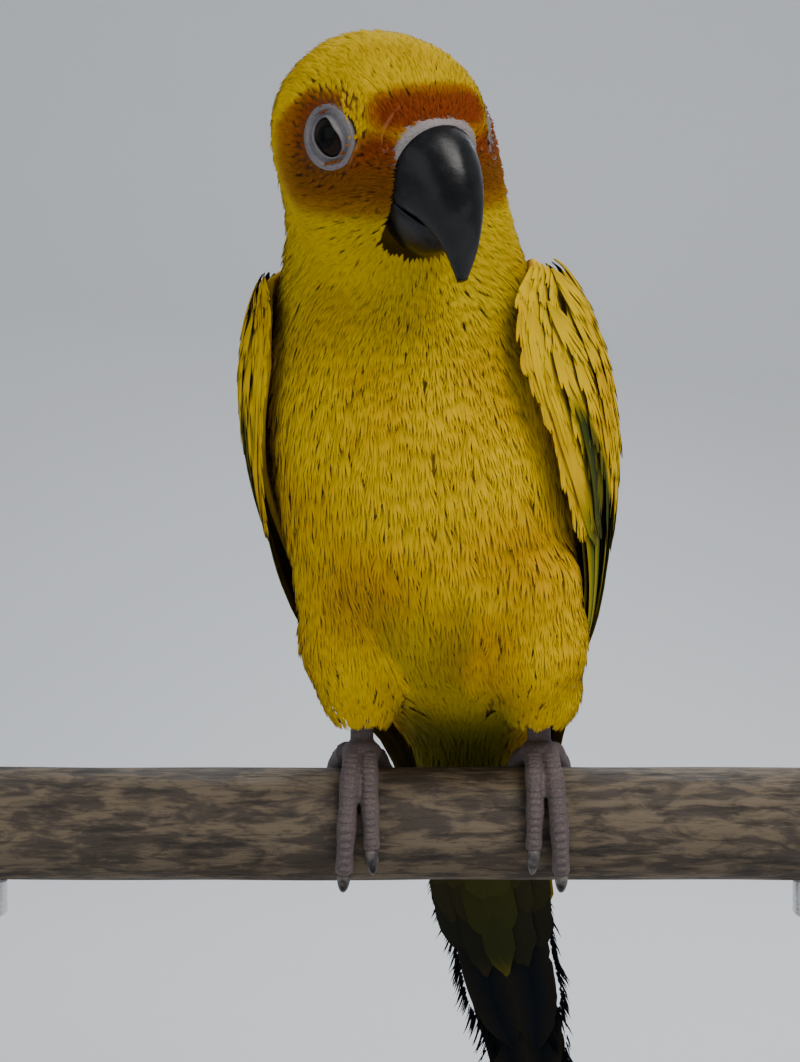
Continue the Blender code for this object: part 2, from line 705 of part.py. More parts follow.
def tail(flesh, finish, parent):
    """Twelve graduated feathers in two stacks, with coverts above and below, on the rump's end."""
    draw = random.Random(11)
    pieces = []
    for side in (-1, 1):
        for k in range(TAIL_PAIRS):
            length = TAIL_LENGTH - TAIL_STEP * k + draw.uniform(-0.001, 0.001)
            width = TAIL_VANE + TAIL_FAN * k
            lift = TAIL_TOP - TAIL_PITCH * k
            middle = side * (0.0002 + width / 2)
            marks = [(TAIL_START, middle * 0.8, lift * 0.9)]
            marks += [(length * a, middle * b, lift * c) for a, b, c in TAIL_MARKS]
            pieces.append(added("vane", tail_vane(marks, width, side * TAIL_TILT)))
    for side, lift, sink, tiers in TAIL_COVERTS:
        for tier, length in enumerate(tiers):
            for i in range(COVERT_COUNT):
                across = (i / (COVERT_COUNT - 1) - 0.5) * COVERT_SPREAD
                high = lift - tier * COVERT_SINK - abs(across) * COVERT_SLOPE
                end = length + draw.uniform(-0.001, 0.001)
                marks = (
                    (COVERT_START + tier * COVERT_STEP, across * 0.8, side * sink),
                    (length * 0.6, across, side * high),
                    (end, across * 0.9, side * (high - COVERT_DIP)),
                )
                tilt = COVERT_TILT * (side if across > 0 else -side)
                pieces.append(added("vane", tail_vane(marks, COVERT_WIDTH, tilt)))
    return combined(added("tail", parted(flesh, TAIL_JOIN, 1), finish, parent), pieces, solver="MANIFOLD")


def toe_path(side, foot_x, root_x, tip_x, start, end, root_radius, tip_radius):
    """Places along a toe wrapped round the perch, 0.3 mm off it, and the radius at each."""
    t = np.linspace(0, 1, TOE_STATIONS)
    turn = np.radians(start + (end - start) * t)
    radius = root_radius + (tip_radius - root_radius) * t
    knuckles = 1 + 0.05 * np.cos(t * 3 * 2 * math.pi)
    radius = radius * knuckles
    reach = PERCH_RADIUS + GAP + radius
    x = foot_x + side * (root_x + (tip_x - root_x) * t)
    y, z = -np.sin(turn) * reach, np.cos(turn) * reach - PERCH_RADIUS
    return np.stack([x, y, z], axis=1), radius


def foot(side, finish, parent):
    """Tarsus, palm and four toes, two to the front and two to the back, as one piece."""
    x = side * LEG_X
    tarsus = [(x + side * off, y, z) for off, y, z in TARSUS]
    shank = added("shank", tube(tarsus, [TARSUS_RADIUS] * len(TARSUS), 12, blunt=0.0))
    pieces = [added("palm", ball((x, 0.0, PALM_RADII[2] + GAP), 1, 8, 12, PALM_RADII))]
    for name, root_x, tip_x, start, end, root_radius, tip_radius in TOES:
        path, radii = toe_path(side, x, root_x, tip_x, start, end, root_radius, tip_radius)
        pieces.append(added(name, tube(path, radii, TOE_SIDES)))
    made = combined(shank, pieces)
    made.name = "foot_left" if side > 0 else "foot_right"
    made.data.materials.clear()
    made.data.materials.append(finish)
    made.parent = parent
    return made


def claws(side, finish, parent):
    """A curved claw at the end of each toe, standing off its tip by the gap."""
    for name, root_x, tip_x, start, end, root_radius, tip_radius in TOES:
        path, radii = toe_path(side, side * LEG_X, root_x, tip_x, start, end, root_radius, tip_radius)
        way = path[-1] - path[-2]
        way /= np.linalg.norm(way)
        turn = np.radians(end)
        out = np.array([0, -math.sin(turn), math.cos(turn)])
        root = path[-1] + way * (radii[-1] * 0.5 + GAP + 0.0001) + out * 0.0003
        bend = CLAW_CURL * np.linspace(0, 1, len(CLAW_TAPER))
        step = CLAW_LENGTH / (len(CLAW_TAPER) - 1)
        places = [root]
        for angle in bend[:-1]:
            places.append(places[-1] + step * (way * math.cos(angle) - out * math.sin(angle) * CLAW_HOOK))
        radius = CLAW_RADIUS * np.array(CLAW_TAPER)
        label = f"claw_{name}_{'left' if side > 0 else 'right'}"
        added(label, tube(places, radius, 6, blunt=0.0), finish, parent)


def head_and_face(flesh, finishes, parent):
    """Head with sockets and lids, and the eyes, cere and two halves of the beak that stand in it."""
    head = added("head", flesh, finishes["orange"], parent)
    cutters = [
        added("cut_upper", beak_form(UPPER_BEAK, GAP)),
        added("cut_lower", beak_form(LOWER_BEAK, GAP)),
        added("cut_cere", beak_form(CERE, GAP)),
    ]
    lids = []
    for side in (-1, 1):
        place = head_point((EYE_PLACE[0], side * EYE_PLACE[1], EYE_PLACE[2]))
        out = HEAD_AXES @ np.array([EYE_WAY[0], side * EYE_WAY[1], EYE_WAY[2]])
        lids.append(added("lid", ring_of(place + out * LID_RISE, out, LID_RADIUS, LID_THICKNESS, 16, 6)))
        cutters.append(added("socket", ball(place, EYE_RADIUS + GAP, 8, 12)))
        name = "eye_left" if side > 0 else "eye_right"
        added(name, ball(place, EYE_RADIUS, 8, 12), finishes["eye"], parent)
    combined(head, lids)
    combined(head, cutters, "DIFFERENCE")
    added("beak_upper", beak_form(UPPER_BEAK), finishes["beak"], parent)
    added("beak_lower", beak_form(LOWER_BEAK), finishes["beak"], parent)
    cere = added("cere", beak_form(CERE), finishes["cere"], parent)
    bores = [added("cut", beak_form(UPPER_BEAK, GAP))]
    for side in (-1, 1):
        place = head_point((NOSTRIL_PLACE[0], side * NOSTRIL_PLACE[1], NOSTRIL_PLACE[2]))
        bores.append(added("nostril", ball(place, NOSTRIL_RADIUS, 6, 8)))
    combined(cere, bores, "DIFFERENCE")


def perch(finish):
    bm = bmesh.new()
    bmesh.ops.create_cone(
        bm, cap_ends=True, segments=PERCH_SIDES,
        radius1=PERCH_RADIUS, radius2=PERCH_RADIUS, depth=PERCH_LENGTH,
    )
    bmesh.ops.rotate(bm, matrix=Matrix.Rotation(math.pi / 2, 3, "Y"), verts=bm.verts)
    rims = [e for e in bm.edges if abs(e.verts[0].co.x - e.verts[1].co.x) < 1e-6]
    bmesh.ops.bevel(bm, geom=rims, offset=0.0006, segments=2, affect="EDGES", profile=0.5)
    made = added("perch", bm, finish)
    made.location = (0, 0, PERCH_TOP - PERCH_RADIUS)
    return made


def stand_base(finish):
    width, depth, height = BASE_SIZE
    points = []
    for cx, cy, start in ((1, 1, 0), (-1, 1, 90), (-1, -1, 180), (1, -1, 270)):
        for step in range(7):
            a = math.radians(start + step * 15)
            x = cx * (width / 2 - BASE_CORNER) + BASE_CORNER * math.cos(a)
            y = cy * (depth / 2 - BASE_CORNER) + BASE_CORNER * math.sin(a)
            points.append((x, y, 0.0))
    points = np.array(points)
    rings = [points, points + (0, 0, height - BASE_BEVEL)]
    shrink = (1 - 2 * BASE_BEVEL / width, 1 - 2 * BASE_BEVEL / depth, 1)
    rings.append(points * shrink + (0, 0, height))
    return added("stand_base", ringed(rings), finish)


def stand_rod(side, finish):
    """A post on a small round plate, with a cradle cut to the perch on top."""
    x = side * POST_X
    floor = BASE_SIZE[2] + GAP
    top = PERCH_TOP - 2 * PERCH_RADIUS + 0.0035
    name = "stand_rod_left" if side > 0 else "stand_rod_right"
    rod = added(name, cylinder((x, 0, floor), POST_RADIUS, top - floor - 0.001, 20), finish)
    plate = added("plate", cylinder((x, 0, floor), PLATE_RADIUS, PLATE_HEIGHT, 28))
    cradle = added("cradle", cylinder((x, 0, top - CRADLE_HEIGHT), CRADLE_RADIUS, CRADLE_HEIGHT, 24))
    combined(rod, [plate, cradle])
    bm = bmesh.new()
    radius = (PERCH_RADIUS + GAP) / math.cos(math.pi / PERCH_SIDES)
    bmesh.ops.create_cone(bm, cap_ends=True, segments=PERCH_SIDES, radius1=radius, radius2=radius, depth=0.03)
    bmesh.ops.rotate(bm, matrix=Matrix.Rotation(math.pi / 2, 3, "Y"), verts=bm.verts)
    bmesh.ops.translate(bm, vec=(x, 0, PERCH_TOP - PERCH_RADIUS), verts=bm.verts)
    return combined(rod, [added("seat", bm)], "DIFFERENCE")


def main():
    for old in list(bpy.data.objects):
        bpy.data.objects.remove(old)
    finishes = {
        "yellow": material("yellow_feathers", (0.86, 0.58, 0.02), 0.8),
        "orange": material("orange_feathers", (0.80, 0.28, 0.03), 0.8),
        "wing": material("wing_feathers", (0.70, 0.55, 0.03), 0.7),
        "tail": material("tail_feathers", (0.06, 0.08, 0.05), 0.7),
        "skin": material("foot_skin", (0.42, 0.33, 0.32), 0.6),
        "claw": material("claw_horn", (0.10, 0.09, 0.09), 0.4),
        "beak": material("beak_horn", (0.03, 0.03, 0.035), 0.35),
        "cere": material("cere_skin", (0.62, 0.58, 0.58), 0.6),
        "eye": material("dark_eye", (0.01, 0.008, 0.006), 0.08),
        "wood": material("perch_wood", (0.24, 0.17, 0.11), 0.75),
        "base": material("base_wood", (0.10, 0.06, 0.035), 0.4),
        "steel": material("rod_steel", (0.55, 0.55, 0.56), 0.3, 1.0),
    }
    bird = bpy.data.objects.new("bird", None)
    bpy.context.scene.collection.objects.link(bird)
    bird.location = BIRD_PLACE

    low, high = (-0.045, -0.07, -0.046), (0.045, 0.05, 0.130)
    points, quads = meshed(flesh_field, low, high, FLESH_STEP)
    fine_points, fine_quads = meshed(flesh_field, (*low[:2], 0.07), high, HEAD_STEP)
    torso = parted(parted(bmesh_of(points, quads), NECK_JOIN, -1), TAIL_JOIN, -1)
    added("torso", torso, finishes["yellow"], bird)
    neck = parted(parted(bmesh_of(points, quads), NECK_JOIN, 1), HEAD_JOIN, -1)
    added("neck", neck, finishes["yellow"], bird)
    head_and_face(parted(bmesh_of(fine_points, fine_quads), HEAD_JOIN, 1), finishes, bird)
    heel = ((0, 0, THIGH_END), (0, 0, 1))
    for side in (-1, 1):
        legs_low, legs_high = (-0.036, -0.036, -0.002), (0.036, 0.015, 0.052)
        thigh = parted(bmesh_of(*meshed(thigh_field(side), legs_low, legs_high, THIGH_STEP)), heel, 1)
        made = added("thigh_left" if side > 0 else "thigh_right", thigh, finishes["yellow"], bird)
        cutter = added("grown", bmesh_of(*meshed(grown_flesh, low, high, FLESH_STEP)))
        combined(made, [cutter], "DIFFERENCE", "MANIFOLD")
        wing(side, finishes["wing"], bird)
        foot(side, finishes["skin"], bird)
        claws(side, finishes["claw"], bird)
    tail(bmesh_of(points, quads), finishes["tail"], bird)
    perch(finishes["wood"])
    stand_base(finishes["base"])
    for side in (-1, 1):
        stand_rod(side, finishes["steel"])


if __name__ == "__main__":
    main()
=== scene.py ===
"""Sun conure on a wooden perch: plumage, bare skin, horn, wood and steel laid on the fixed solids.

Metres, +Z up. The bird faces -Y. Its own frame has its origin on top of the perch, between its feet.
The sections and masses of the solids carry the skin and every feather. Wings and tail coverts have more
and finer feathers than the solids, and the eyes sit a little higher and further back than theirs.
"""

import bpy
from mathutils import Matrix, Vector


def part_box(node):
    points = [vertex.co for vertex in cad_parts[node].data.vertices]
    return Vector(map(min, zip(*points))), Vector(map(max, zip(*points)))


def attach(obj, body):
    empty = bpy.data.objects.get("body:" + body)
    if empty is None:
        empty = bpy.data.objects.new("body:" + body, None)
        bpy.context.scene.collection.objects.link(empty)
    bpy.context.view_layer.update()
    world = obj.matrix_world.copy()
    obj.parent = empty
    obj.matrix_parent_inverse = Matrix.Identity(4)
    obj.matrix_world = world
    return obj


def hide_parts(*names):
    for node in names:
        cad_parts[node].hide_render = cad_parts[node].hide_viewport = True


bl_info = {
    "name": "Sun Conure Display Model",
    "version": (1, 0, 0),
    "blender": (4, 5, 0),
    "location": "View3D > Sidebar > Conure",
    "description": "Builds the plumage, bare parts, perch, stand and stage of a life-size sun conure",
    "category": "Object",
}

import itertools
import math

import bmesh
import bpy
import numpy as np
from bpy.props import FloatProperty, FloatVectorProperty, PointerProperty
from mathutils import Matrix, Vector
from mathutils.kdtree import KDTree

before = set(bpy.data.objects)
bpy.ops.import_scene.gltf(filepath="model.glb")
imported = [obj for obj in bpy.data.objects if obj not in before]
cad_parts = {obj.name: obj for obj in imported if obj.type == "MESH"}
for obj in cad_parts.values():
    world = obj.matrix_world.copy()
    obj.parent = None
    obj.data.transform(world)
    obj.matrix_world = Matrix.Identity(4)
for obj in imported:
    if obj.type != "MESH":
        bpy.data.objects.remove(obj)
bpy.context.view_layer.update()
PERCH_LOW, PERCH_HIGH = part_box("perch")
PERCH_RADIUS = (PERCH_HIGH.z - PERCH_LOW.z) / 2
PERCH_MIDDLE = (PERCH_LOW.z + PERCH_HIGH.z) / 2
BIRD_PLACE = np.array((0.009, 0.0, PERCH_HIGH.z))
GAP = 0.0003
SIDES = ((1, "left"), (-1, "right"))

# Level sections of torso and neck: height, half width, front y, back y
BODY_YAW = math.radians(12)
SIDEWAYS_LEAN = -0.048
SECTION_POWER = 2.15
SECTIONS = (
    (-0.040, 0.0074, 0.0325, 0.0375),
    (-0.024, 0.0086, 0.0240, 0.0350),
    (-0.012, 0.0096, 0.0185, 0.0325),
    (-0.004, 0.0108, 0.0150, 0.0312),
    (0.002, 0.0124, 0.0118, 0.0302),
    (0.008, 0.0156, 0.0020, 0.0290),
    (0.016, 0.0200, -0.0140, 0.0275),
    (0.029, 0.0242, -0.0268, 0.0246),
    (0.043, 0.0262, -0.0330, 0.0205),
    (0.057, 0.0264, -0.0370, 0.0150),
    (0.069, 0.0250, -0.0385, 0.0085),
    (0.079, 0.0224, -0.0386, 0.0018),
    (0.088, 0.0198, -0.0380, -0.0050),
    (0.097, 0.0178, -0.0375, -0.0115),
    (0.105, 0.0158, -0.0370, -0.0170),
)
# What the folded wings lie on past the rump
BED_SECTIONS = (
    (-0.085, 0.0098, 0.0480, 0.0555),
    (-0.060, 0.0110, 0.0390, 0.0502),
    (-0.035, 0.0118, 0.0290, 0.0423),
    (-0.020, 0.0122, 0.0210, 0.0380),
    (-0.008, 0.0138, 0.0120, 0.0341),
    (0.002, 0.0152, 0.0060, 0.0318),
    (0.008, 0.0180, -0.0030, 0.0300),
) + SECTIONS[6:]
NECK_BLEND = 0.009

# Head: its middle, how it is turned, and its masses along forward, left and up
HEAD_CENTRE = np.array((-0.0124, -0.0358, 0.1026))
HEAD_TURN = (math.radians(33), math.radians(18), math.radians(-10))
HEAD_MASSES = (
    ((-0.0012, 0.0, 0.0012), (0.0185, 0.0152, 0.0152)),
    ((0.0080, 0.0, 0.0008), (0.0092, 0.0120, 0.0124)),
    ((0.0032, 0.0058, -0.0060), (0.0088, 0.0092, 0.0098)),
    ((0.0032, -0.0058, -0.0060), (0.0088, 0.0092, 0.0098)),
    ((0.0034, 0.0, -0.0095), (0.0092, 0.0098, 0.0090)),
)
HEAD_BLEND = 0.006
BEAK_ROOT = (0.0150, 0.0, -0.0030)
EYE_PLACE = (0.0076, 0.0106, 0.0016)
EYE_WAY = (0.34, 0.92, 0.12)

# Legs, for the left side
LEG_X = 0.0158
THIGH = (
    ((LEG_X - 0.0004, 0.0010, 0.0075), 0.0040),
    ((LEG_X - 0.0002, -0.0030, 0.0140), 0.0070),
    ((LEG_X - 0.0006, -0.0088, 0.0230), 0.0094),
    ((LEG_X - 0.0014, -0.0135, 0.0340), 0.0104),
)
THIGH_BLEND = 0.004
THIGH_TURN_HEIGHT = 0.014
THIGH_END = 0.0074

# Coat: how deep its roots lie, then feather length by distance from the beak's root
COAT_DEPTH = 0.0013
COAT_REACH = (0.004, 0.010, 0.018, 0.030, 0.050, 0.080, 0.130)
COAT_LENGTH = (0.0013, 0.0017, 0.0027, 0.0042, 0.0062, 0.0074, 0.0078)
SLOPE_STEP = 0.0001
SLOPE_ROUNDS = 3
LEG_BLEND = 0.002
EYE_CLEAR = 0.0052
HORN_CLEAR = 0.00015
# Strands' widths together by their feather's length, then a strand's depth and a shaft by its vane's width
STRAND_WIDTH = 0.62
STRAND_KEEL = 0.22
SHAFT_WIDTH = 0.06
# Distance from the beak's root to which face and head reach, then heights that part neck, breast and belly
FACE_REACH = 0.0155
HEAD_REACH = 0.036
CROWN_HEIGHT = 0.001
BACK_START = -0.008
BREAST_TOP = 0.066
BELLY_TOP = 0.040
# Places tried for the feathers of head and neck, and of torso and legs
HEAD_TRIES = 90000
BODY_TRIES = 40000
# Width of a feather's patch on the unwrap, then what turns its root into a number of its own
PATCH = 0.003
CHANCE = np.array((129898.0, 782330.0, 377190.0))
# Skin under the coat: how far its parts are grown to join, its mesh step, and how near points are merged
SKIN_JOIN = 0.0005
SKIN_STEP = 0.0011
SKIN_MERGE = 0.00001
SKIN_SMOOTHING = 6
# Angles past which an edge stays sharp
FEATHER_SHARP = math.radians(62)
PIECE_SHARP = math.radians(50)
STEEL_SHARP = math.radians(35)

# Where the red of the face ends above, by how far forward: over the eye, then below the yellow before it
FACE_TOP = (
    (-0.012, -0.004, 0.002, 0.009, 0.0125, 0.017),
    (0.001, 0.0045, 0.0080, 0.0078, 0.0012, 0.0004),
)
# Orange patches of the belly: middle and strength
BELLY_PATCHES = (((-0.0155, 0, 0.0308), 0.30), ((0.0119, 0, 0.0373), 0.28), ((0.0020, 0, 0.0230), 0.20))
TINTS = ("Yellow", "Gold", "Orange", "Red", "Green", "Dark")

# Folded wing as in the solids: height, front and back edge in degrees, and thickness
WING_ROWS = (
    (0.0865, 8, 40, 0.0006),
    (0.0835, -14, 58, 0.0026),
    (0.0770, -30, 68, 0.0040),
    (0.0680, -36, 71, 0.0045),
    (0.0560, -26, 72, 0.0042),
    (0.0440, -8, 73, 0.0030),
    (0.0320, 6, 74, 0.0020),
    (0.0210, 18, 74, 0.0013),
    (0.0120, 32, 70, 0.0007),
)
WING_BED = 0.0011
WING_LIFT = {1: 1.0, -1: 0.58}
# Its tiers, finer than in the solids and with each first feather further forward: count, width, lifts at
# root and tip, then marks of height and angle for the first and last feather
TIERS = (
    ("primaries", 8, 0.0070, 0.0002, 0.0006,
     ((0.058, -27), (0.038, -13), (0.018, 4), (-0.008, 28), (-0.048, 46)),
     ((0.056, 6), (0.036, 22), (0.018, 38), (0.000, 50), (-0.016, 52))),
    ("secondaries", 9, 0.0086, 0.0006, 0.0010,
     ((0.062, -27), (0.050, -19), (0.036, -9), (0.021, 4)),
     ((0.066, 46), (0.046, 57), (0.024, 65), (0.000, 70))),
    ("greater", 11, 0.0078, 0.0010, 0.0014,
     ((0.070, -34), (0.058, -29), (0.040, -14)),
     ((0.072, 62), (0.058, 65), (0.037, 69))),
    ("median", 12, 0.0076, 0.0012, 0.0018,
     ((0.079, -26), (0.070, -35), (0.054, -30)),
     ((0.080, 50), (0.070, 61), (0.055, 65))),
)
STIFF_TIERS = ("primaries", "secondaries", "greater")
VANE_COLUMNS = 9
# Small coverts above those: heights of their rows, then how many, how long and how wide
LESSER_ROWS = (0.0555, 0.0595, 0.0633, 0.0670, 0.0705, 0.0740, 0.0770, 0.0800, 0.0825, 0.0850)
LESSER_COUNT = 16
LESSER_LENGTH = 0.0100
LESSER_WIDTH = 0.0072
# The dark blue-green stripe along each wing's front: height, then its middle and half its width in degrees
WING_STRIPE = ((0.034, -6, 13), (0.0400, -7, 12), (0.0446, -11, 10), (0.052, -18, 6), (0.062, -27, 3))
# Front edge of the wing by height, and the small coverts that lie along it
WING_EDGE = ((0.034, -16), (0.0446, -23), (0.056, -31), (0.068, -38), (0.077, -33), (0.0835, -18))
EDGE_START = 0.0465
EDGE_ROWS = 20
EDGE_COLUMNS = (-3.5, 0.5, 4.5, 9.0)
EDGE_LENGTH = 0.0052
EDGE_WIDTH = 0.0040

# Tail as in the solids
TAIL_ROOT = np.array((0.0043, 0.0262, -0.0060))
TAIL_WAY = np.array((0.205, 0.285, -0.936))
TAIL_PAIRS = 6
TAIL_LENGTH = 0.1215
TAIL_STEP = 0.0118
TAIL_PITCH = 0.00082
TAIL_VANE = 0.0074
TAIL_FAN = 0.0005
TAIL_TOP = 0.0021
TAIL_MARKS = ((0.27, 0.92, 0.90), (0.52, 1.0, 0.90), (0.77, 1.0, 0.85), (1.0, 0.5, 0.75))
TAIL_ROWS = 44
# Coverts over and under the tail: side, lift, lift at the root, then count, length and width of each tier
TAIL_COVERTS = (
    (1, 0.0046, 0.0022, ((7, 0.040, 0.0068), (7, 0.031, 0.0066), (7, 0.022, 0.0064), (6, 0.014, 0.0060))),
    (-1, 0.0040, 0.0018, ((5, 0.044, 0.0066), (6, 0.034, 0.0066), (6, 0.025, 0.0064), (6, 0.016, 0.0060))),
)
COVERT_SPREAD = 0.0175
FRINGE_COUNT = 150

# Beak in the head's frame, from root to tip: top edge and bottom edge as (forward, up), then half width
UPPER_BEAK = (
    ((0.0125, 0.0046), (0.0092, -0.0070), 0.0064),
    ((0.0168, 0.0048), (0.0126, -0.0084), 0.0069),
    ((0.0203, 0.0032), (0.0158, -0.0093), 0.0063),
    ((0.0231, 0.0002), (0.0184, -0.0100), 0.0054),
    ((0.0251, -0.0036), (0.0204, -0.0108), 0.0044),
    ((0.0262, -0.0080), (0.0219, -0.0122), 0.0034),
    ((0.0263, -0.0126), (0.0234, -0.0146), 0.0022),
    ((0.0255, -0.0170), (0.0242, -0.0178), 0.0008),
)
LOWER_BEAK = (
    ((0.0072, -0.0072), (0.0054, -0.0132), 0.0056),
    ((0.0104, -0.0080), (0.0090, -0.0150), 0.0063),
    ((0.0138, -0.0092), (0.0128, -0.0160), 0.0065),
    ((0.0166, -0.0102), (0.0163, -0.0158), 0.0058),
    ((0.0190, -0.0112), (0.0192, -0.0148), 0.0046),
    ((0.0204, -0.0122), (0.0206, -0.0136), 0.0024),
)
CERE = (
    ((0.0116, 0.0069), (0.0106, -0.0024), 0.0076),
    ((0.0146, 0.0074), (0.0118, -0.0034), 0.0080),
    ((0.0171, 0.0068), (0.0132, -0.0046), 0.0078),
    ((0.0188, 0.0053), (0.0146, -0.0052), 0.0070),
)
NOSTRIL_PLACE = (0.0176, 0.0030, 0.0060)
BEAK_SIDES = 56
BEAK_POWER = 0.9
UPPER_ROWS = 46
LOWER_ROWS = 26

# Eye opening and ring of bare skin: radii from the eye's axis
EYE_RADIUS = 0.0042
LID_INNER = 0.0026
RING_OUTER = 0.0046
RING_TILT = math.radians(-46)
RING_SIDES = 72
RING_ROWS = 15

# Feet as in the solids: name, x from the foot's middle at root and tip, degrees round the perch, radii
TARSUS_RADIUS = 0.0021
PALM_RADII = (0.0036, 0.0040, 0.0024)
TOES = (
    ("inner_front", -0.0012, -0.0020, 8, 100, 0.0018, 0.0014),
    ("outer_front", 0.0014, 0.0028, 8, 122, 0.0019, 0.0015),
    ("inner_back", -0.0014, -0.0062, -8, -78, 0.0018, 0.0014),
    ("outer_back", 0.0026, 0.0084, -8, -104, 0.0020, 0.0014),
)
CLAW_LENGTH = 0.0062
CLAW_RADIUS = 0.0012
CLAW_CURL = math.radians(75)
CLAW_HOOK = 0.55
FOOT_STEP = 0.00032
FOOT_SMOOTHING = 2

# Perch and stand
PERCH_BEVEL = 0.0009
PERCH_SIDES = 72
POST_SIDES = 48

# Stage: half width of the sweep, its front edge, where it turns up, how round, and its top
SWEEP_HALF_WIDTH = 2.2
SWEEP_FRONT = -0.9
SWEEP_TURN = 0.55
SWEEP_RADIUS = 0.5
SWEEP_TOP = 2.2
SWEEP_STEPS = 12
LIGHT_TARGET = (0, 0, 0.16)
SENSOR_HEIGHT = 24.0

# Seeds of the random draws
HEAD_SEED = 5
BODY_SEED = 6
COAT_SEED = 20
WING_SEED = 60
TAIL_SEED = 71
FRINGE_SEED = 9
SCUTE_SEED = 4
PERCH_SEED = 8


def swell(low, high, value):
    """Rises smoothly from 0 at low to 1 at high, or falls where low is above high."""
    t = np.clip((np.asarray(value) - low) / (high - low), 0, 1)
    return t * t * (3 - 2 * t)


def unit(vectors):
    return vectors / np.maximum(np.linalg.norm(vectors, axis=-1, keepdims=True), 1e-12)


def through(places, values, at):
    """A smooth curve through the values, read at a place or an array of places, held level past its ends."""
    places, values = np.asarray(places, float), np.asarray(values, float)
    slopes = np.gradient(values, places)
    at = np.clip(at, places[0], places[-1])
    i = np.clip(np.searchsorted(places, at) - 1, 0, len(places) - 2)
    width = places[i + 1] - places[i]
    t = (at - places[i]) / width
    rise = t * t * (3 - 2 * t)
    bend = width * t * (1 - t) * (slopes[i] * (1 - t) - slopes[i + 1] * t)
    return values[i] * (1 - rise) + values[i + 1] * rise + bend


def smooth_min(a, b, blend):
    share = np.clip(0.5 + 0.5 * (b - a) / blend, 0, 1)
    return b * (1 - share) + a * share - blend * share * (1 - share)


def blended(fields, blend):
    """The fields joined one after another."""
    value = fields[0]
    for field in fields[1:]:
        value = smooth_min(value, field, blend)
    return value


def turned(yaw, bow=0.0, roll=0.0):
    """Columns are the forward, left and up directions of a frame that faces -Y before it is turned."""
    facing = np.array([[0, 1, 0], [-1, 0, 0], [0, 0, 1]], float)
    spin = np.array(Matrix.Rotation(yaw, 3, "Z"))
    nod = np.array(Matrix.Rotation(bow, 3, "X"))
    tip = np.array(Matrix.Rotation(roll, 3, "Y"))
    return spin @ nod @ tip @ facing


BODY_AXES = turned(-BODY_YAW)
HEAD_AXES = turned(*HEAD_TURN)
BODY_COLUMNS = np.stack([BODY_AXES[:, 1], -BODY_AXES[:, 0], BODY_AXES[:, 2]], axis=1)


def head_point(place):
    """A place given along the head's forward, left and up directions, in the bird's frame."""
    return HEAD_CENTRE + np.asarray(place) @ HEAD_AXES.T


def head_place(points):
    return (points - HEAD_CENTRE) @ HEAD_AXES


def mirrored(local):
    """Places in the head's frame with both of its sides laid on the left one."""
    return np.stack([local[..., 0], np.abs(local[..., 1]), local[..., 2]], axis=-1)


def eye_middle(side):
    return head_point((EYE_PLACE[0], side * EYE_PLACE[1], EYE_PLACE[2]))


def body_place(points):
    """Places along the turned body: out from its leaning middle line, towards its back, and up."""
    x, y, z = np.moveaxis(points @ BODY_COLUMNS, -1, 0)
    return x - SIDEWAYS_LEAN * z, y, z


def ellipsoid(points, radii):
    scaled = points / radii
    size = np.linalg.norm(scaled, axis=-1)
    return size * (size - 1) / np.maximum(np.linalg.norm(scaled / radii, axis=-1), 1e-9)


def section(z, sections):
    """Half width, middle y and half depth of the sections at a height."""
    heights, half_widths, fronts, backs = np.array(sections).T
    front = through(heights, fronts, z)
    back = through(heights, backs, z)
    return through(heights, half_widths, z), (front + back) / 2, (back - front) / 2


def flesh_field(points):
    """How far points are outside torso, neck and head."""
    x, y, z = body_place(points)
    half_width, middle, half_depth = section(z, SECTIONS)
    y = y - middle
    reach = np.hypot(x, y)
    power = SECTION_POWER
    share = (np.abs(x / half_width) ** power + np.abs(y / half_depth) ** power) ** (1 / power)
    torso = 0.95 * (reach - reach / np.maximum(share, 1e-6))
    torso = np.maximum(torso, np.maximum(z - SECTIONS[-1][0], SECTIONS[0][0] - z))
    local = head_place(points)
    masses = [ellipsoid(local - np.asarray(middle), np.asarray(radii)) for middle, radii in HEAD_MASSES]
    return smooth_min(torso, blended(masses, HEAD_BLEND), NECK_BLEND)


def cone_field(points, a, a_radius, b, b_radius):
    """A round cone from a to b."""
    t = np.clip((points - a) @ (b - a) / ((b - a) @ (b - a)), 0, 1)
    nearest = a + t[..., None] * (b - a)
    return np.linalg.norm(points - nearest, axis=-1) - (a_radius + (b_radius - a_radius) * t)


def thigh_field(points, side):
    """A feathered leg that turns with the body as it rises from its heel."""
    marks = []
    for (x, y, z), radius in THIGH:
        still = np.array([side * x, y, z])
        share = min(1.0, max(0.0, (z - THIGH_END) / THIGH_TURN_HEIGHT))
        marks.append((still * (1 - share) + still @ BODY_COLUMNS.T * share, radius))
    return blended([cone_field(points, *low, *high) for low, high in zip(marks, marks[1:])], THIGH_BLEND)


def legs_field(points):
    """How far points are outside the nearer feathered leg."""
    return np.minimum(thigh_field(points, 1), thigh_field(points, -1))


def coat_field(points):
    """The outside of the whole coat: torso, neck, head and both feathered legs."""
    return smooth_min(flesh_field(points), legs_field(points), LEG_BLEND)


def slope(field, points):
    rise = []
    for axis in SLOPE_STEP * np.eye(3):
        rise.append((field(points + axis) - field(points - axis)) / (2 * SLOPE_STEP))
    return np.stack(rise, axis=-1)


def onto(field, points, level):
    """The points moved along the field's slope to a level of it, and the way out there."""
    for _ in range(SLOPE_ROUNDS):
        way = slope(field, points)
        off = field(points) - level
        points = points - off[:, None] * way / np.maximum((way**2).sum(1, keepdims=True), 0.05)
    return points, unit(slope(field, points))


def near(points, centre, full, none):
    """1 within full of a centre, fading to 0 at none."""
    return swell(none, full, np.linalg.norm(points - np.asarray(centre), axis=-1))


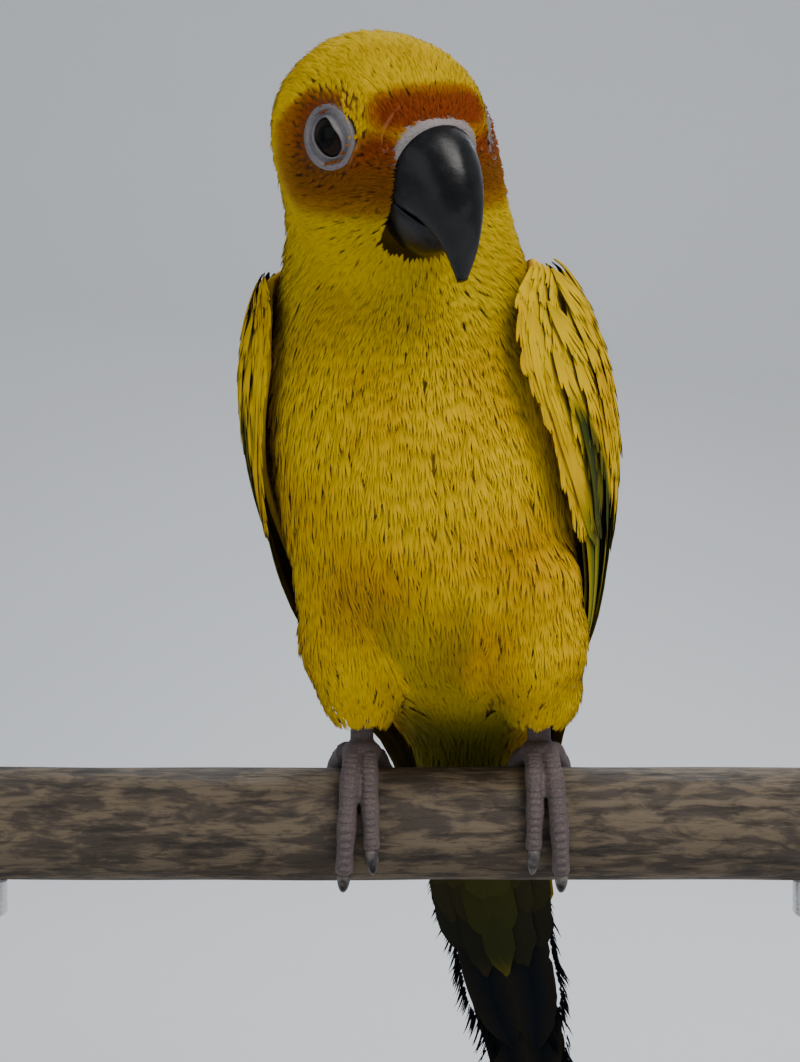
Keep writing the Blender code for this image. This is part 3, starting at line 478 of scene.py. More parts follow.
def markings(points):
    """How orange, how green and how dark the plumage is at places in the bird's frame, each from 0 to 1. Some
    of the green and dark is painted shade: under the head and between the legs.
    """
    local = head_place(points)
    forward, left, up = np.moveaxis(local, -1, 0)
    side = np.abs(left)
    top = np.interp(forward, *FACE_TOP)
    face = swell(-0.0122, -0.0045, up) * swell(0.0022, -0.0020, up - top) * swell(0.0030, 0.0060, side)
    face = face * (0.40 + 0.60 * swell(-0.006, 0.006, forward)) * swell(-0.014, -0.004, forward)
    brow = swell(0.0046, 0.0014, np.hypot(forward - 0.0165, up - 0.0064)) * swell(0.0125, 0.0080, side)
    lores = near(mirrored(local), (0.0150, 0.0085, -0.0015), 0.0028, 0.0062)
    x, y, z = np.moveaxis(points, -1, 0)
    front = swell(0.012, -0.004, y)
    flat = points * (1, 0, 1)
    belly = np.maximum.reduce([near(flat, place, 0.002, 0.018) * share for place, share in BELLY_PATCHES])
    rump = swell(0.050, 0.020, z) * swell(0.004, 0.016, y) * 0.30
    orange = np.maximum.reduce([face, lores, brow, belly * front, rump])
    # Painted shade: below the cheeks and beak the plumage is tinted olive, partly its own olive and partly
    # the shade under the head.
    olive_and_shade_under_face = swell(-0.0075, -0.0125, up) * swell(0.080, 0.092, z) * 0.24
    crown = swell(0.006, 0.012, up) * 0.17
    vent = swell(0.020, 0.002, z) * swell(0.013, 0.007, np.abs(x - 0.002)) * 0.75
    # Painted shade: the front of the neck under the head is tinted olive for the shade that the head casts
    # there.
    throat_shade = swell(0.058, 0.074, z) * swell(-0.010, -0.020, y) * swell(0.002, -0.004, up) * 0.24
    # Painted shade: low on the belly, away from the legs, the plumage is tinted olive and darkened for the
    # shade between the legs.
    between = swell(0.036, 0.018, z) * swell(0.0016, 0.0040, legs_field(points)) * front * 0.34
    green = np.maximum.reduce([olive_and_shade_under_face, vent, crown, throat_shade, between])
    # The dark is the vent's own darker tone and the painted shade between the legs.
    return np.stack([orange, green, np.maximum(vent * 0.30, between * 0.55)], axis=-1)


def flow(points):
    """The lie of the feathers: back from the beak over the head, then down the body towards the tail."""
    away = points - head_point(BEAK_ROOT)
    reach = np.linalg.norm(away, axis=-1, keepdims=True)
    x, _, z = body_place(points)
    spread = 0.30 * x / 0.025 * np.clip((z - 0.03) / 0.04, -1, 1)
    down = np.stack([spread, np.full_like(z, 0.25), np.full_like(z, -1.0)], axis=-1) @ BODY_COLUMNS.T
    share = swell(0.020, 0.040, reach)
    way = unit(away / reach * (1 - share) + unit(down) * share)
    for side in (-1, 1):
        off = points - eye_middle(side)
        far = np.linalg.norm(off, axis=-1, keepdims=True)
        way = unit(way + off / far * swell(0.0095, 0.0055, far) * 1.3)
    return way


def coat_length(points):
    reach = np.linalg.norm(points - head_point(BEAK_ROOT), axis=-1)
    length = np.interp(reach, COAT_REACH, COAT_LENGTH)
    on_leg = swell(0.0025, 0.0005, legs_field(points)) * swell(0.040, 0.030, points[..., 2])
    leg_length = 0.0024 + 0.0026 * swell(0.008, 0.030, points[..., 2])
    return length * (1 - on_leg) + np.minimum(length, leg_length) * on_leg


def vertex_values(mesh, kind):
    """The co or normal of every vertex of a mesh."""
    values = np.empty(len(mesh.vertices) * 3)
    mesh.vertices.foreach_get(kind, values)
    return values.reshape(-1, 3)


def mesh_samples(names, count, draw):
    """Places spread evenly by area over the nodes' triangles, in the bird's frame."""
    corners = []
    for name in names:
        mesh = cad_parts[name].data
        mesh.calc_loop_triangles()
        index = np.empty(len(mesh.loop_triangles) * 3, int)
        mesh.loop_triangles.foreach_get("vertices", index)
        corners.append(vertex_values(mesh, "co")[index].reshape(-1, 3, 3))
    corners = np.concatenate(corners) - BIRD_PLACE
    area = np.linalg.norm(np.cross(corners[:, 1] - corners[:, 0], corners[:, 2] - corners[:, 0]), axis=1)
    chosen = draw.choice(len(corners), count, p=area / area.sum())
    a, b = draw.random((2, count, 1))
    over = a + b > 1
    a, b = np.where(over, 1 - a, a), np.where(over, 1 - b, b)
    c = corners[chosen]
    return c[:, 0] + a * (c[:, 1] - c[:, 0]) + b * (c[:, 2] - c[:, 0])


def crowded(cells, key, span, place, radius):
    """Whether a kept point lies within the radius of a place."""
    x, y, z = place
    limit = radius * radius
    i, j, k = (range(middle - span, middle + span + 1) for middle in key)
    for cell in itertools.product(i, j, k):
        for u, v, w in cells.get(cell, ()):
            if (u - x) ** 2 + (v - y) ** 2 + (w - z) ** 2 < limit:
                return True
    return False


def spaced(points, radii, cell=0.001):
    """The numbers of those points that keep their radius from all that are kept before them."""
    kept, cells = [], {}
    keys = np.floor(points / cell).astype(int).tolist()
    spans = np.ceil(radii / cell).astype(int).tolist()
    for n, (key, span, place, radius) in enumerate(zip(keys, spans, points.tolist(), radii.tolist())):
        if not crowded(cells, key, span, place, radius):
            kept.append(n)
            cells.setdefault(tuple(key), []).append(place)
    return np.array(kept)


def laid_paths(field, roots, length, depth, rise, stations, sway):
    """Each feather's centreline: along the flow, from below the coat's outside to above it at its tip."""
    places, path, ways_out = roots, [], []
    for share in np.linspace(0, 1, stations):
        at, out = onto(field, places, -depth + (depth + rise) * share**0.8)
        path.append(at)
        ways_out.append(out)
        way = flow(at) + sway
        way = unit(way - out * (way * out).sum(1, keepdims=True))
        places = at + way * (length / (stations - 1))[:, None]
    return np.stack(path, axis=1), np.stack(ways_out, axis=1)


def vane_triangles(rows, columns):
    """Triangles of one closed vane: its upper grid, then a keel line below it, and fans at both ends."""
    faces = []
    keel = rows * columns
    for i in range(rows - 1):
        for j in range(columns - 1):
            a, b = i * columns + j, (i + 1) * columns + j
            faces += [(a, b, b + 1), (a, b + 1, a + 1)]
        first, last = i * columns, i * columns + columns - 1
        k = keel + i
        faces += [(first, k, k + 1), (first, k + 1, first + columns)]
        faces += [(k, last, last + columns), (k, last + columns, k + 1)]
    end = (rows - 1) * columns
    for j in range(columns - 1):
        faces += [(keel, j, j + 1), (keel + rows - 1, end + j + 1, end + j)]
    return np.array(faces)


def reader(count, stations, t):
    """Reads values that are known at each feather's stations, at places from 0 to 1 along it."""
    at = np.clip(t * (stations - 1), 0, stations - 1 - 1e-9)
    low = at.astype(int)
    share = (at - low)[..., None]
    n = np.arange(count)[:, None, None]

    def read(values):
        return values[n, low] * (1 - share) + values[n, low + 1] * share

    return read


def vanes(paths, normals, widths, columns, draw, outline, rows, arch, rounding, ragged, keel, tilt=0.0,
          split=0.0):
    """Closed feather vanes along centrelines: points, triangles, places across and along, and the way out."""
    count, stations = paths.shape[:2]
    u = np.linspace(-1, 1, columns)
    reach = 1 - rounding * u**2 + draw.uniform(-ragged, 0, (count, columns))
    t = np.linspace(0, 1, rows)[None, :, None] * reach[:, None, :]
    read = reader(count, stations, t)
    out = read(normals)
    across = unit(np.cross(out, read(unit(np.gradient(paths, axis=1)))))
    half = (widths / 2)[:, None, None] * outline(t)
    notch = split * np.maximum(0, draw.uniform(-1, 1, (count, rows, columns)) - 0.55)
    side = (u * (1 - notch * np.abs(u)) * half)[..., None]
    fall = ((u * tilt - arch * u**2) * half)[..., None]
    top = read(paths) + across * side + out * fall
    a, b = (columns - 1) // 2, columns // 2
    line = (top[:, :, a] + top[:, :, b]) / 2 - out[:, :, a] * (half[:, :, a] * 2 * keel + 0.00004)[..., None]
    points = np.concatenate([top.reshape(count, -1, 3), line], axis=1)
    along_marks = np.concatenate([t.reshape(count, -1), (t[:, :, a] + t[:, :, b]) / 2], axis=1)
    across_marks = np.broadcast_to(np.concatenate([np.tile(u, rows), np.zeros(rows)]), along_marks.shape)
    lie = np.concatenate([out.reshape(count, -1, 3), out[:, :, a]], axis=1)
    return points, vane_triangles(rows, columns), across_marks, along_marks, lie


def strand_vanes(paths, normals, widths, draw, rows):
    """Narrow closed vanes for the strands of soft feathers."""
    return vanes(paths, normals, widths, 2, draw, strand_outline, rows, arch=0.0, rounding=0.0, ragged=0.0,
                 keel=STRAND_KEEL)


def fanned(paths, normals, length, strands, draw, spread):
    """Splits each feather's centreline into strands that part towards its tip, the outer ones shorter."""
    count, stations = paths.shape[:2]
    across = unit(np.cross(normals, unit(np.gradient(paths, axis=1))))
    share = np.linspace(-1, 1, strands) + draw.uniform(-0.16, 0.16, (count, strands))
    reach = 1 - 0.24 * share**2 + draw.uniform(-0.12, 0.05, (count, strands))
    t = np.linspace(0, 1, stations)[None, None] * np.clip(reach, 0.2, 1)[..., None]
    read = reader(count, stations, t)
    wide = (length * spread)[:, None, None] * share[..., None] * t**0.75
    high = -0.20 * np.abs(wide) * t + draw.uniform(-0.00012, 0.00012, (count, strands, 1)) * t
    out, aside = read(normals), read(across)
    made = read(paths) + aside * wide[..., None] + out * high[..., None]
    lean = unit(out + aside * (0.35 * share[..., None, None]))
    return made.reshape(-1, stations, 3), lean.reshape(-1, stations, 3)


def eased(t, end):
    """Rises from 0 at the root to 1 at a place along the feather, and stays there."""
    return np.sin(np.clip(t / end, 0, 1) * math.pi / 2)


def strand_outline(t):
    """Half width along a strand of a soft feather: fullest before its middle, drawn in to a fine end."""
    return (0.55 + 0.45 * eased(t, 0.45)) * np.sqrt(np.clip(1.03 - t**3, 0, 1))


def contour_outline(t):
    """Half width along a small body feather: narrow at its root, full past its middle."""
    return 0.38 + 0.62 * eased(t, 0.6)


def flight_outline(t):
    """Half width along a long feather: nearly even, drawn in towards a round tip."""
    return (0.62 + 0.38 * eased(t, 0.5)) * np.sqrt(np.clip(1.04 - t**6, 0, 1))


def linked(name, mesh):
    """A new object of a mesh, a light or a camera in the scene."""
    made = bpy.data.objects.new(name, mesh)
    bpy.context.scene.collection.objects.link(made)
    return made


def mesh_of(name, bm):
    """A new mesh of what has been modelled, which is then let go."""
    mesh = bpy.data.meshes.new(name)
    bm.to_mesh(mesh)
    bm.free()
    return mesh


def new_mesh(name, points, triangles, finish):
    """A mesh object in the row's frame from points in the bird's frame."""
    mesh = bpy.data.meshes.new(name)
    points = np.ascontiguousarray(points.reshape(-1, 3) + BIRD_PLACE, np.float32)
    triangles = np.ascontiguousarray(triangles.reshape(-1, 3), np.int32)
    mesh.vertices.add(len(points))
    mesh.vertices.foreach_set("co", points.ravel())
    mesh.loops.add(triangles.size)
    mesh.loops.foreach_set("vertex_index", triangles.ravel())
    mesh.polygons.add(len(triangles))
    mesh.polygons.foreach_set("loop_start", np.arange(0, triangles.size, 3, dtype=np.int32))
    mesh.update(calc_edges=True)
    mesh.materials.append(finish)
    mesh.shade_smooth()
    mesh.set_sharp_from_angle(angle=FEATHER_SHARP)
    return linked(name, mesh)


def point_attribute(mesh, name, kind, values):
    made = mesh.attributes.new(name, kind, "POINT")
    key = {"FLOAT_COLOR": "color", "FLOAT_VECTOR": "vector", "FLOAT": "value"}[kind]
    made.data.foreach_set(key, np.ascontiguousarray(values, np.float32).ravel())


def coat_piece(name, batches, finish, unwrap, slot, *nodes):
    """One coat piece from batches of (vanes, root places, marks of each point), with its baking map."""
    points, triangles, marks, places, patches, lies, offset = [], [], [], [], [], [], 0
    for (vane_points, faces, across, along, lie), roots, shades in batches:
        count, each = vane_points.shape[:2]
        points.append(vane_points.reshape(-1, 3))
        step = offset + np.arange(count)[:, None, None] * each
        triangles.append((faces[None] + step).reshape(-1, 3))
        offset += count * each
        chance = np.repeat(np.modf(np.abs(roots @ CHANCE))[0], each)
        lies.append(lie.reshape(-1, 3))
        places.append(np.stack([across.ravel(), along.ravel(), chance], axis=1))
        marks.append(np.concatenate([shades.reshape(-1, 3), np.ones((count * each, 1))], axis=1))
        local = np.stack([across * 0.5, along - 0.5], axis=-1) * PATCH
        patches.append((unwrap(roots)[:, None] * (1 - 2 * PATCH) + PATCH + local).reshape(-1, 2))
    triangles = np.concatenate(triangles)
    made = new_mesh(name, np.concatenate(points), triangles, finish)
    point_attribute(made.data, "marks", "FLOAT_COLOR", np.concatenate(marks))
    point_attribute(made.data, "vane", "FLOAT_VECTOR", np.concatenate(places))
    point_attribute(made.data, "lie", "FLOAT_VECTOR", np.concatenate(lies))
    layer = made.data.uv_layers.new(name="OFBake")
    layer.data.foreach_set("uv", np.concatenate(patches)[triangles.ravel()].astype(np.float32).ravel())
    return settled(made, slot, *nodes)


def settled(made, slot, *nodes):
    """Rides the piece on the one body and hides the nodes that it stands for; its slot is not used."""
    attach(made, "root")
    if nodes:
        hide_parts(*nodes)
    return made


def round_unwrap(points, centre, low, high):
    """Places from 0 to 1 on an unwrap round an upright axis."""
    local = points - np.asarray(centre)
    turn = np.arctan2(local[..., 0], -local[..., 1]) / (2 * math.pi) + 0.5
    return np.stack([turn, np.clip((points[..., 2] - low) / (high - low), 0, 1)], axis=-1)


def head_unwrap(points):
    local = unit(head_place(points) @ np.array([[0, 0, 1], [0, 1, 0], [1, 0, 0]]))
    turn = np.arctan2(local[..., 1], local[..., 0]) / (2 * math.pi) + 0.5
    return np.stack([turn, np.arccos(np.clip(local[..., 2], -1, 1)) / math.pi], axis=-1)


def body_unwrap(points):
    return round_unwrap(points, (0, -0.008, 0), -0.045, 0.110)


def leg_unwrap(points):
    side = np.sign(points[..., :1] + 1e-9)
    local = points - side * np.array([LEG_X, 0, 0]) + (0, 0.004, 0)
    place = round_unwrap(local, (0, 0, 0), 0.0, 0.050)
    return place * (0.5, 1) + np.concatenate([np.where(side > 0, 0.5, 0.0), 0 * side], axis=-1)


def wing_unwrap(points):
    _, y, z = body_place(points)
    return np.stack([np.clip(y / 0.11 + 0.4, 0, 1), np.clip((z + 0.06) / 0.16, 0, 1)], axis=-1)


def feed(tree, made, inputs):
    """Gives a node its inputs, as values or as sockets to link from."""
    for key, value in inputs.items():
        if isinstance(value, bpy.types.NodeSocket):
            tree.links.new(value, made.inputs[key])
        else:
            made.inputs[key].default_value = value


def put(tree, kind, inputs=None, **options):
    """A node with its options and its inputs."""
    made = tree.nodes.new(kind)
    for name, value in options.items():
        setattr(made, name, value)
    feed(tree, made, inputs or {})
    return made


def maths(tree, operation, a, b=0.0, clamp=False):
    return put(tree, "ShaderNodeMath", {0: a, 1: b}, operation=operation, use_clamp=clamp).outputs[0]


def add(tree, a, b):
    return maths(tree, "ADD", a, b)


def times(tree, a, b, clamp=False):
    return maths(tree, "MULTIPLY", a, b, clamp)


def mixed(tree, share, a, b, blend="MIX"):
    made = put(tree, "ShaderNodeMix", {0: share, 6: a, 7: b}, data_type="RGBA", blend_type=blend)
    return made.outputs[2]


def grey(tree, value):
    return put(tree, "ShaderNodeCombineColor", {0: value, 1: value, 2: value}).outputs[0]


def shaded(tree, colour, light):
    return mixed(tree, 1.0, colour, grey(tree, light), "MULTIPLY")


def object_place(tree):
    return put(tree, "ShaderNodeTexCoord").outputs["Object"]


def attribute(tree, name, output):
    return put(tree, "ShaderNodeAttribute", attribute_name=name).outputs[output]


def ranged(tree, value, low, high, to_low=0.0, to_high=1.0):
    inputs = {0: value, 1: low, 2: high, 3: to_low, 4: to_high}
    return put(tree, "ShaderNodeMapRange", inputs, interpolation_type="SMOOTHSTEP").outputs[0]


def noise(tree, place, scale, detail=3.0, roughness=0.55, distortion=0.0):
    inputs = {"Vector": place, "Scale": scale, "Detail": detail, "Roughness": roughness}
    inputs["Distortion"] = distortion
    return put(tree, "ShaderNodeTexNoise", inputs).outputs["Fac"]


def stretched(tree, place, scale):
    return put(tree, "ShaderNodeMapping", {"Vector": place, "Scale": scale}).outputs[0]


def new_group(name, inputs, outputs):
    """A shader group with named sockets: (name, kind, default) for inputs and (name, kind) for outputs."""
    group = bpy.data.node_groups.new(name, "ShaderNodeTree")
    for label, kind, default in inputs:
        socket = group.interface.new_socket(name=label, in_out="INPUT", socket_type="NodeSocket" + kind)
        if default is not None:
            socket.default_value = default
    for label, kind in outputs:
        group.interface.new_socket(name=label, in_out="OUTPUT", socket_type="NodeSocket" + kind)
    return group, group.nodes.new("NodeGroupInput").outputs, group.nodes.new("NodeGroupOutput").inputs


def grouped(tree, name, build, inputs):
    """The outputs of a shader group, which is built when it is first used."""
    group = bpy.data.node_groups.get(name) or build(name)
    return put(tree, "ShaderNodeGroup", inputs, node_tree=group).outputs


def mottle_group(name):
    """Uneven light and dark patches in two sizes over an object's own coordinates."""
    inputs = (("Scale", "Float", 60.0), ("Contrast", "Float", 0.3))
    tree, given, out = new_group(name, inputs, (("Value", "Float"),))
    place = object_place(tree)
    broad = noise(tree, place, given["Scale"], 2.0)
    fine = noise(tree, place, times(tree, given["Scale"], 5.3), 3.0)
    both = add(tree, times(tree, broad, 0.65), times(tree, fine, 0.35))
    swing = times(tree, maths(tree, "SUBTRACT", both, 0.5), given["Contrast"])
    tree.links.new(add(tree, swing, 1.0), out["Value"])
    return tree


def mottled(tree, scale, contrast=0.3):
    return grouped(tree, "Mottle", mottle_group, {"Scale": scale, "Contrast": contrast})[0]


def barb_group(name):
    """Slanting barbs on both sides of a shaft, from a feather's own places across and along."""
    inputs = (("Vane", "Vector", None), ("Count", "Float", 40.0), ("Slant", "Float", 0.5))
    tree, given, out = new_group(name, inputs, (("Height", "Float"), ("Clump", "Float")))
    parts = put(tree, "ShaderNodeSeparateXYZ", {0: given["Vane"]}).outputs
    off = maths(tree, "ABSOLUTE", parts[0])
    line = maths(tree, "SUBTRACT", parts[1], times(tree, off, given["Slant"]))
    barbs = maths(tree, "SINE", times(tree, line, times(tree, given["Count"], math.tau)))
    strand = put(tree, "ShaderNodeCombineXYZ", {0: times(tree, line, given["Count"]), 1: parts[2]})
    clump = noise(tree, strand.outputs[0], 0.9, 2.0)
    height = add(tree, times(tree, barbs, 0.25), times(tree, clump, 0.9))
    tree.links.new(add(tree, height, ranged(tree, off, SHAFT_WIDTH, 0.0)), out["Height"])
    tree.links.new(clump, out["Clump"])
    return tree


def marking_group(name):
    """Plumage colour from how orange, green and dark a place is."""
    inputs = [(label, "Color", (0, 0, 0, 1)) for label in ("Marks",) + TINTS] + [("Golden", "Float", 0.0)]
    tree, given, out = new_group(name, inputs, (("Colour", "Color"),))
    parts = put(tree, "ShaderNodeSeparateColor", {0: given["Marks"]}).outputs
    colour = mixed(tree, given["Golden"], given["Yellow"], given["Gold"])
    colour = mixed(tree, ranged(tree, parts[0], 0.02, 0.55), colour, given["Orange"])
    colour = mixed(tree, ranged(tree, parts[0], 0.55, 1.0), colour, given["Red"])
    colour = mixed(tree, parts[1], colour, given["Green"])
    colour = mixed(tree, parts[2], colour, given["Dark"])
    tree.links.new(colour, out["Colour"])
    return tree


def marked(tree, tints, golden=0.0):
    """Plumage colour by the marks of the piece, from tints by name."""
    inputs = {label: (*tint, 1) for label, tint in tints.items()}
    inputs.update({"Marks": attribute(tree, "marks", "Color"), "Golden": golden})
    return grouped(tree, "Markings", marking_group, inputs)[0]


def new_material(name):
    """A material with one Principled BSDF, and its tree and shader."""
    made = bpy.data.materials.new(name)
    made.use_nodes = True
    return made, made.node_tree, made.node_tree.nodes["Principled BSDF"]


def bumped(tree, shader, height, distance, strength=1.0):
    bump = put(tree, "ShaderNodeBump", {"Height": height, "Distance": distance, "Strength": strength})
    tree.links.new(bump.outputs[0], shader.inputs["Normal"])


def settings():
    return bpy.context.scene.conure


def plumage(name, count=26.0, slant=0.45, depth=0.00005, shade_root=0.55, soft=0.0):
    """Feathers: markings, painted shade at the root, uneven gold, and barbs, or lit by the coat's lie where
    soft.
    """
    if name in bpy.data.materials:
        return bpy.data.materials[name]
    made, tree, shader = new_material(name)
    vane = attribute(tree, "vane", "Vector")
    barbs = grouped(tree, "Barbs", barb_group, {"Vane": vane, "Count": count, "Slant": slant})
    _, along, chance = put(tree, "ShaderNodeSeparateXYZ", {0: vane}).outputs
    golden = ranged(tree, noise(tree, object_place(tree), 75.0, 2.0), 0.38, 0.72)
    golden = times(tree, add(tree, golden, times(tree, chance, 0.5)), 0.55, True)
    colour = marked(tree, {label: getattr(settings().plumage, label.lower()) for label in TINTS}, golden)
    # Painted shade: each feather is darkened towards its root, where the feathers over it shade it;
    # shade_root sets how dark.
    root_shade = ranged(tree, along, 0.15, 0.75, shade_root, 1.0)
    fine = add(tree, times(tree, barbs["Clump"], 0.35), 0.83)
    each = add(tree, times(tree, chance, 0.16), 0.92)
    light = times(tree, times(tree, root_shade, fine), each)
    finish = shaded(tree, colour, light)
    feed(tree, shader, {"Base Color": finish, "Roughness": 0.80, "Specular IOR Level": 0.06})
    if soft:
        own = put(tree, "ShaderNodeNewGeometry").outputs["Normal"]
        lie = attribute(tree, "lie", "Vector")
        blend = put(tree, "ShaderNodeMix", {0: soft, 4: own, 5: lie}, data_type="VECTOR").outputs[1]
        level = put(tree, "ShaderNodeVectorMath", {0: blend}, operation="NORMALIZE").outputs[0]
        tree.links.new(level, shader.inputs["Normal"])
    else:
        bumped(tree, shader, barbs["Height"], depth, 0.8)
    return made


def under_skin():
    """The skin below the coat: the same markings, gold in place of yellow, and duller."""
    made, tree, shader = new_material("under_skin")
    colours = settings().plumage
    tints = {"Yellow": colours.gold, "Gold": colours.gold, "Orange": colours.orange, "Red": colours.red,
             "Green": colours.green}
    dull = mixed(tree, 0.12, marked(tree, tints), (0.16, 0.09, 0.01, 1))
    feed(tree, shader, {"Base Color": dull, "Roughness": 0.8})
    bumped(tree, shader, mottled(tree, 900.0), 0.0002)
    return made


class SkinOperator(bpy.types.Operator):
    """Adds the one skin that carries the coat, inside torso, neck, head and thighs by the coat's depth"""

    bl_idname = "conure.skin"
    bl_label = "Skin"

    def execute(self, context):
        made_of = ("torso", "neck", "head", "thigh_left", "thigh_right")
        bm = bmesh.new()
        for name in made_of:
            part = bmesh.new()
            part.from_mesh(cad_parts[name].data)
            bmesh.ops.remove_doubles(part, verts=part.verts, dist=SKIN_MERGE)
            part.normal_update()
            for vert in part.verts:
                vert.co += vert.normal * SKIN_JOIN
            mesh = mesh_of("part", part)
            bm.from_mesh(mesh)
            bpy.data.meshes.remove(mesh)
        skin = linked("skin", mesh_of("skin", bm))
        remeshed(skin, SKIN_STEP, SKIN_SMOOTHING)
        normals = vertex_values(skin.data, "normal")
        local = vertex_values(skin.data, "co") - BIRD_PLACE
        far = np.linalg.norm(local - head_point(BEAK_ROOT), axis=1)
        depth = (COAT_DEPTH + SKIN_JOIN) * swell(0.0, 0.004, far - 0.004)
        local = local - normals * np.maximum(depth, SKIN_JOIN + 0.0004)[:, None]
        skin.data.vertices.foreach_set("co", (local + BIRD_PLACE).ravel())
        skin.data.update()
        shades = np.concatenate([markings(local), np.ones((len(local), 1))], axis=1)
        point_attribute(skin.data, "marks", "FLOAT_COLOR", shades)
        skin.data.materials.append(under_skin())
        skin.data.shade_smooth()
        settled(skin, "body_feathers", *made_of)
        return {"FINISHED"}


def plain_mesh(made):
    """The evaluated result of an object's modifiers as a mesh of its own."""
    bpy.context.view_layer.update()
    evaluated = made.evaluated_get(bpy.context.evaluated_depsgraph_get())
    return bpy.data.meshes.new_from_object(evaluated)


def remeshed(made, step, rounds):
    """Makes one smooth skin of an object's overlapping forms."""
    remesh = made.modifiers.new("remesh", "REMESH")
    remesh.mode = "VOXEL"
    remesh.voxel_size = step
    made.modifiers.new("smooth", "SMOOTH").iterations = rounds
    made.data = plain_mesh(made)
    made.modifiers.clear()


def clear_of_horn(local):
    """Which places of the head are outside cere and beak."""
    rims = []
    for stations, rows, shape in ((UPPER_BEAK, UPPER_ROWS, None), (LOWER_BEAK, LOWER_ROWS, None),
                                  (CERE, LOWER_ROWS, cere_shape)):
        for ring in beak_rings(stations, rows, shape):
            rims.append(np.concatenate([ring, unit(ring - ring.mean(0))], axis=1))
    rims = np.concatenate(rims)
    tree = KDTree(len(rims))
    for n, rim in enumerate(rims):
        tree.insert(rim[:3], n)
    tree.balance()
    keep = np.ones(len(local), bool)
    for n in np.flatnonzero(local[:, 0] > 0.002):
        _, index, far = tree.find(local[n])
        outside = (local[n] - rims[index, :3]) @ rims[index, 3:]
        keep[n] = far > HORN_CLEAR and outside > 0
    forward, left, up = local.T
    gape = (forward > 0.0080) & (np.abs(left) < 0.0064) & (up < -0.0045) & (up > -0.0120)
    return keep & ~gape


def wing_span(z):
    """Front and back edge of a folded wing in degrees, and how thick it is, at heights."""
    heights, fronts, backs, thicknesses = np.array(WING_ROWS)[::-1].T
    thickness = np.interp(z, heights, thicknesses, left=0.0003)
    return np.interp(z, heights, fronts), np.interp(z, heights, backs), thickness


def coat_roots(names, count, seed, spacing):
    """Where feathers grow: on the coat's outside, clear of eyes, beak, heels and folded wings."""
    draw = np.random.default_rng(seed)
    points = mesh_samples(names, count, draw)
    points = points[np.abs(coat_field(points)) < 0.0012]
    if "head" in names:
        rim = mesh_samples(("cere", "beak_upper", "beak_lower"), count // 6, draw)
        points = np.concatenate([points, rim[np.abs(coat_field(rim)) < 0.0045]])
    points, _ = onto(coat_field, points, 0.0)
    local = head_place(points)
    eye = np.linalg.norm(mirrored(local) - np.array(EYE_PLACE), axis=1) > EYE_CLEAR
    x, y, z = body_place(points)
    half_width, middle, half_depth = section(z, SECTIONS)
    angle = np.degrees(np.arctan2((y - middle) / half_depth, np.abs(x) / half_width))
    front, back, _ = wing_span(z)
    winged = (angle > front + 9) & (angle < back - 9) & (z < 0.084) & (z > 0.012)
    on_leg = legs_field(points) < 0.0012
    keep = eye & clear_of_horn(local) & (~winged | on_leg) & (z > -0.004) & ~((z < 0.0085) & on_leg)
    points = points[keep]
    return points[spaced(points, spacing * coat_length(points))]


def contour_batch(roots, seed, stations, strands):
    """Soft feathers on the coat's outside, each a fan of strands with its own colour by place."""
    draw = np.random.default_rng(seed)
    length = coat_length(roots) * draw.uniform(0.85, 1.2, len(roots))
    for side in (-1, 1):
        clear = np.linalg.norm(roots - eye_middle(side), axis=1) - EYE_CLEAR
        length = np.minimum(length, 0.0010 + 0.38 * np.maximum(0, clear))
    sway = draw.normal(0, 0.09, roots.shape)
    depth = np.minimum(COAT_DEPTH, length * 0.22)
    rise = draw.uniform(-0.0001, 0.0002, len(roots))
    paths, normals = laid_paths(coat_field, roots, length, depth, rise, stations, sway)
    steps = np.linalg.norm(np.diff(paths, axis=1), axis=2)
    even = steps.max(1) < 1.4 * length / (stations - 1)
    paths, normals, length, roots = paths[even], normals[even], length[even], roots[even]
    middle = markings(paths[:, stations // 2])
    paths, normals = fanned(paths, normals, length, strands, draw, 0.30)
    widths = np.repeat(length, strands) * draw.uniform(0.80, 1.15, len(paths)) * STRAND_WIDTH / strands
    made = strand_vanes(paths, normals, widths, draw, stations)
    shades = np.repeat(middle, strands, axis=0)[:, None] * 0.4 + markings(made[0]) * 0.6
    return made, np.repeat(roots, strands, axis=0), shades


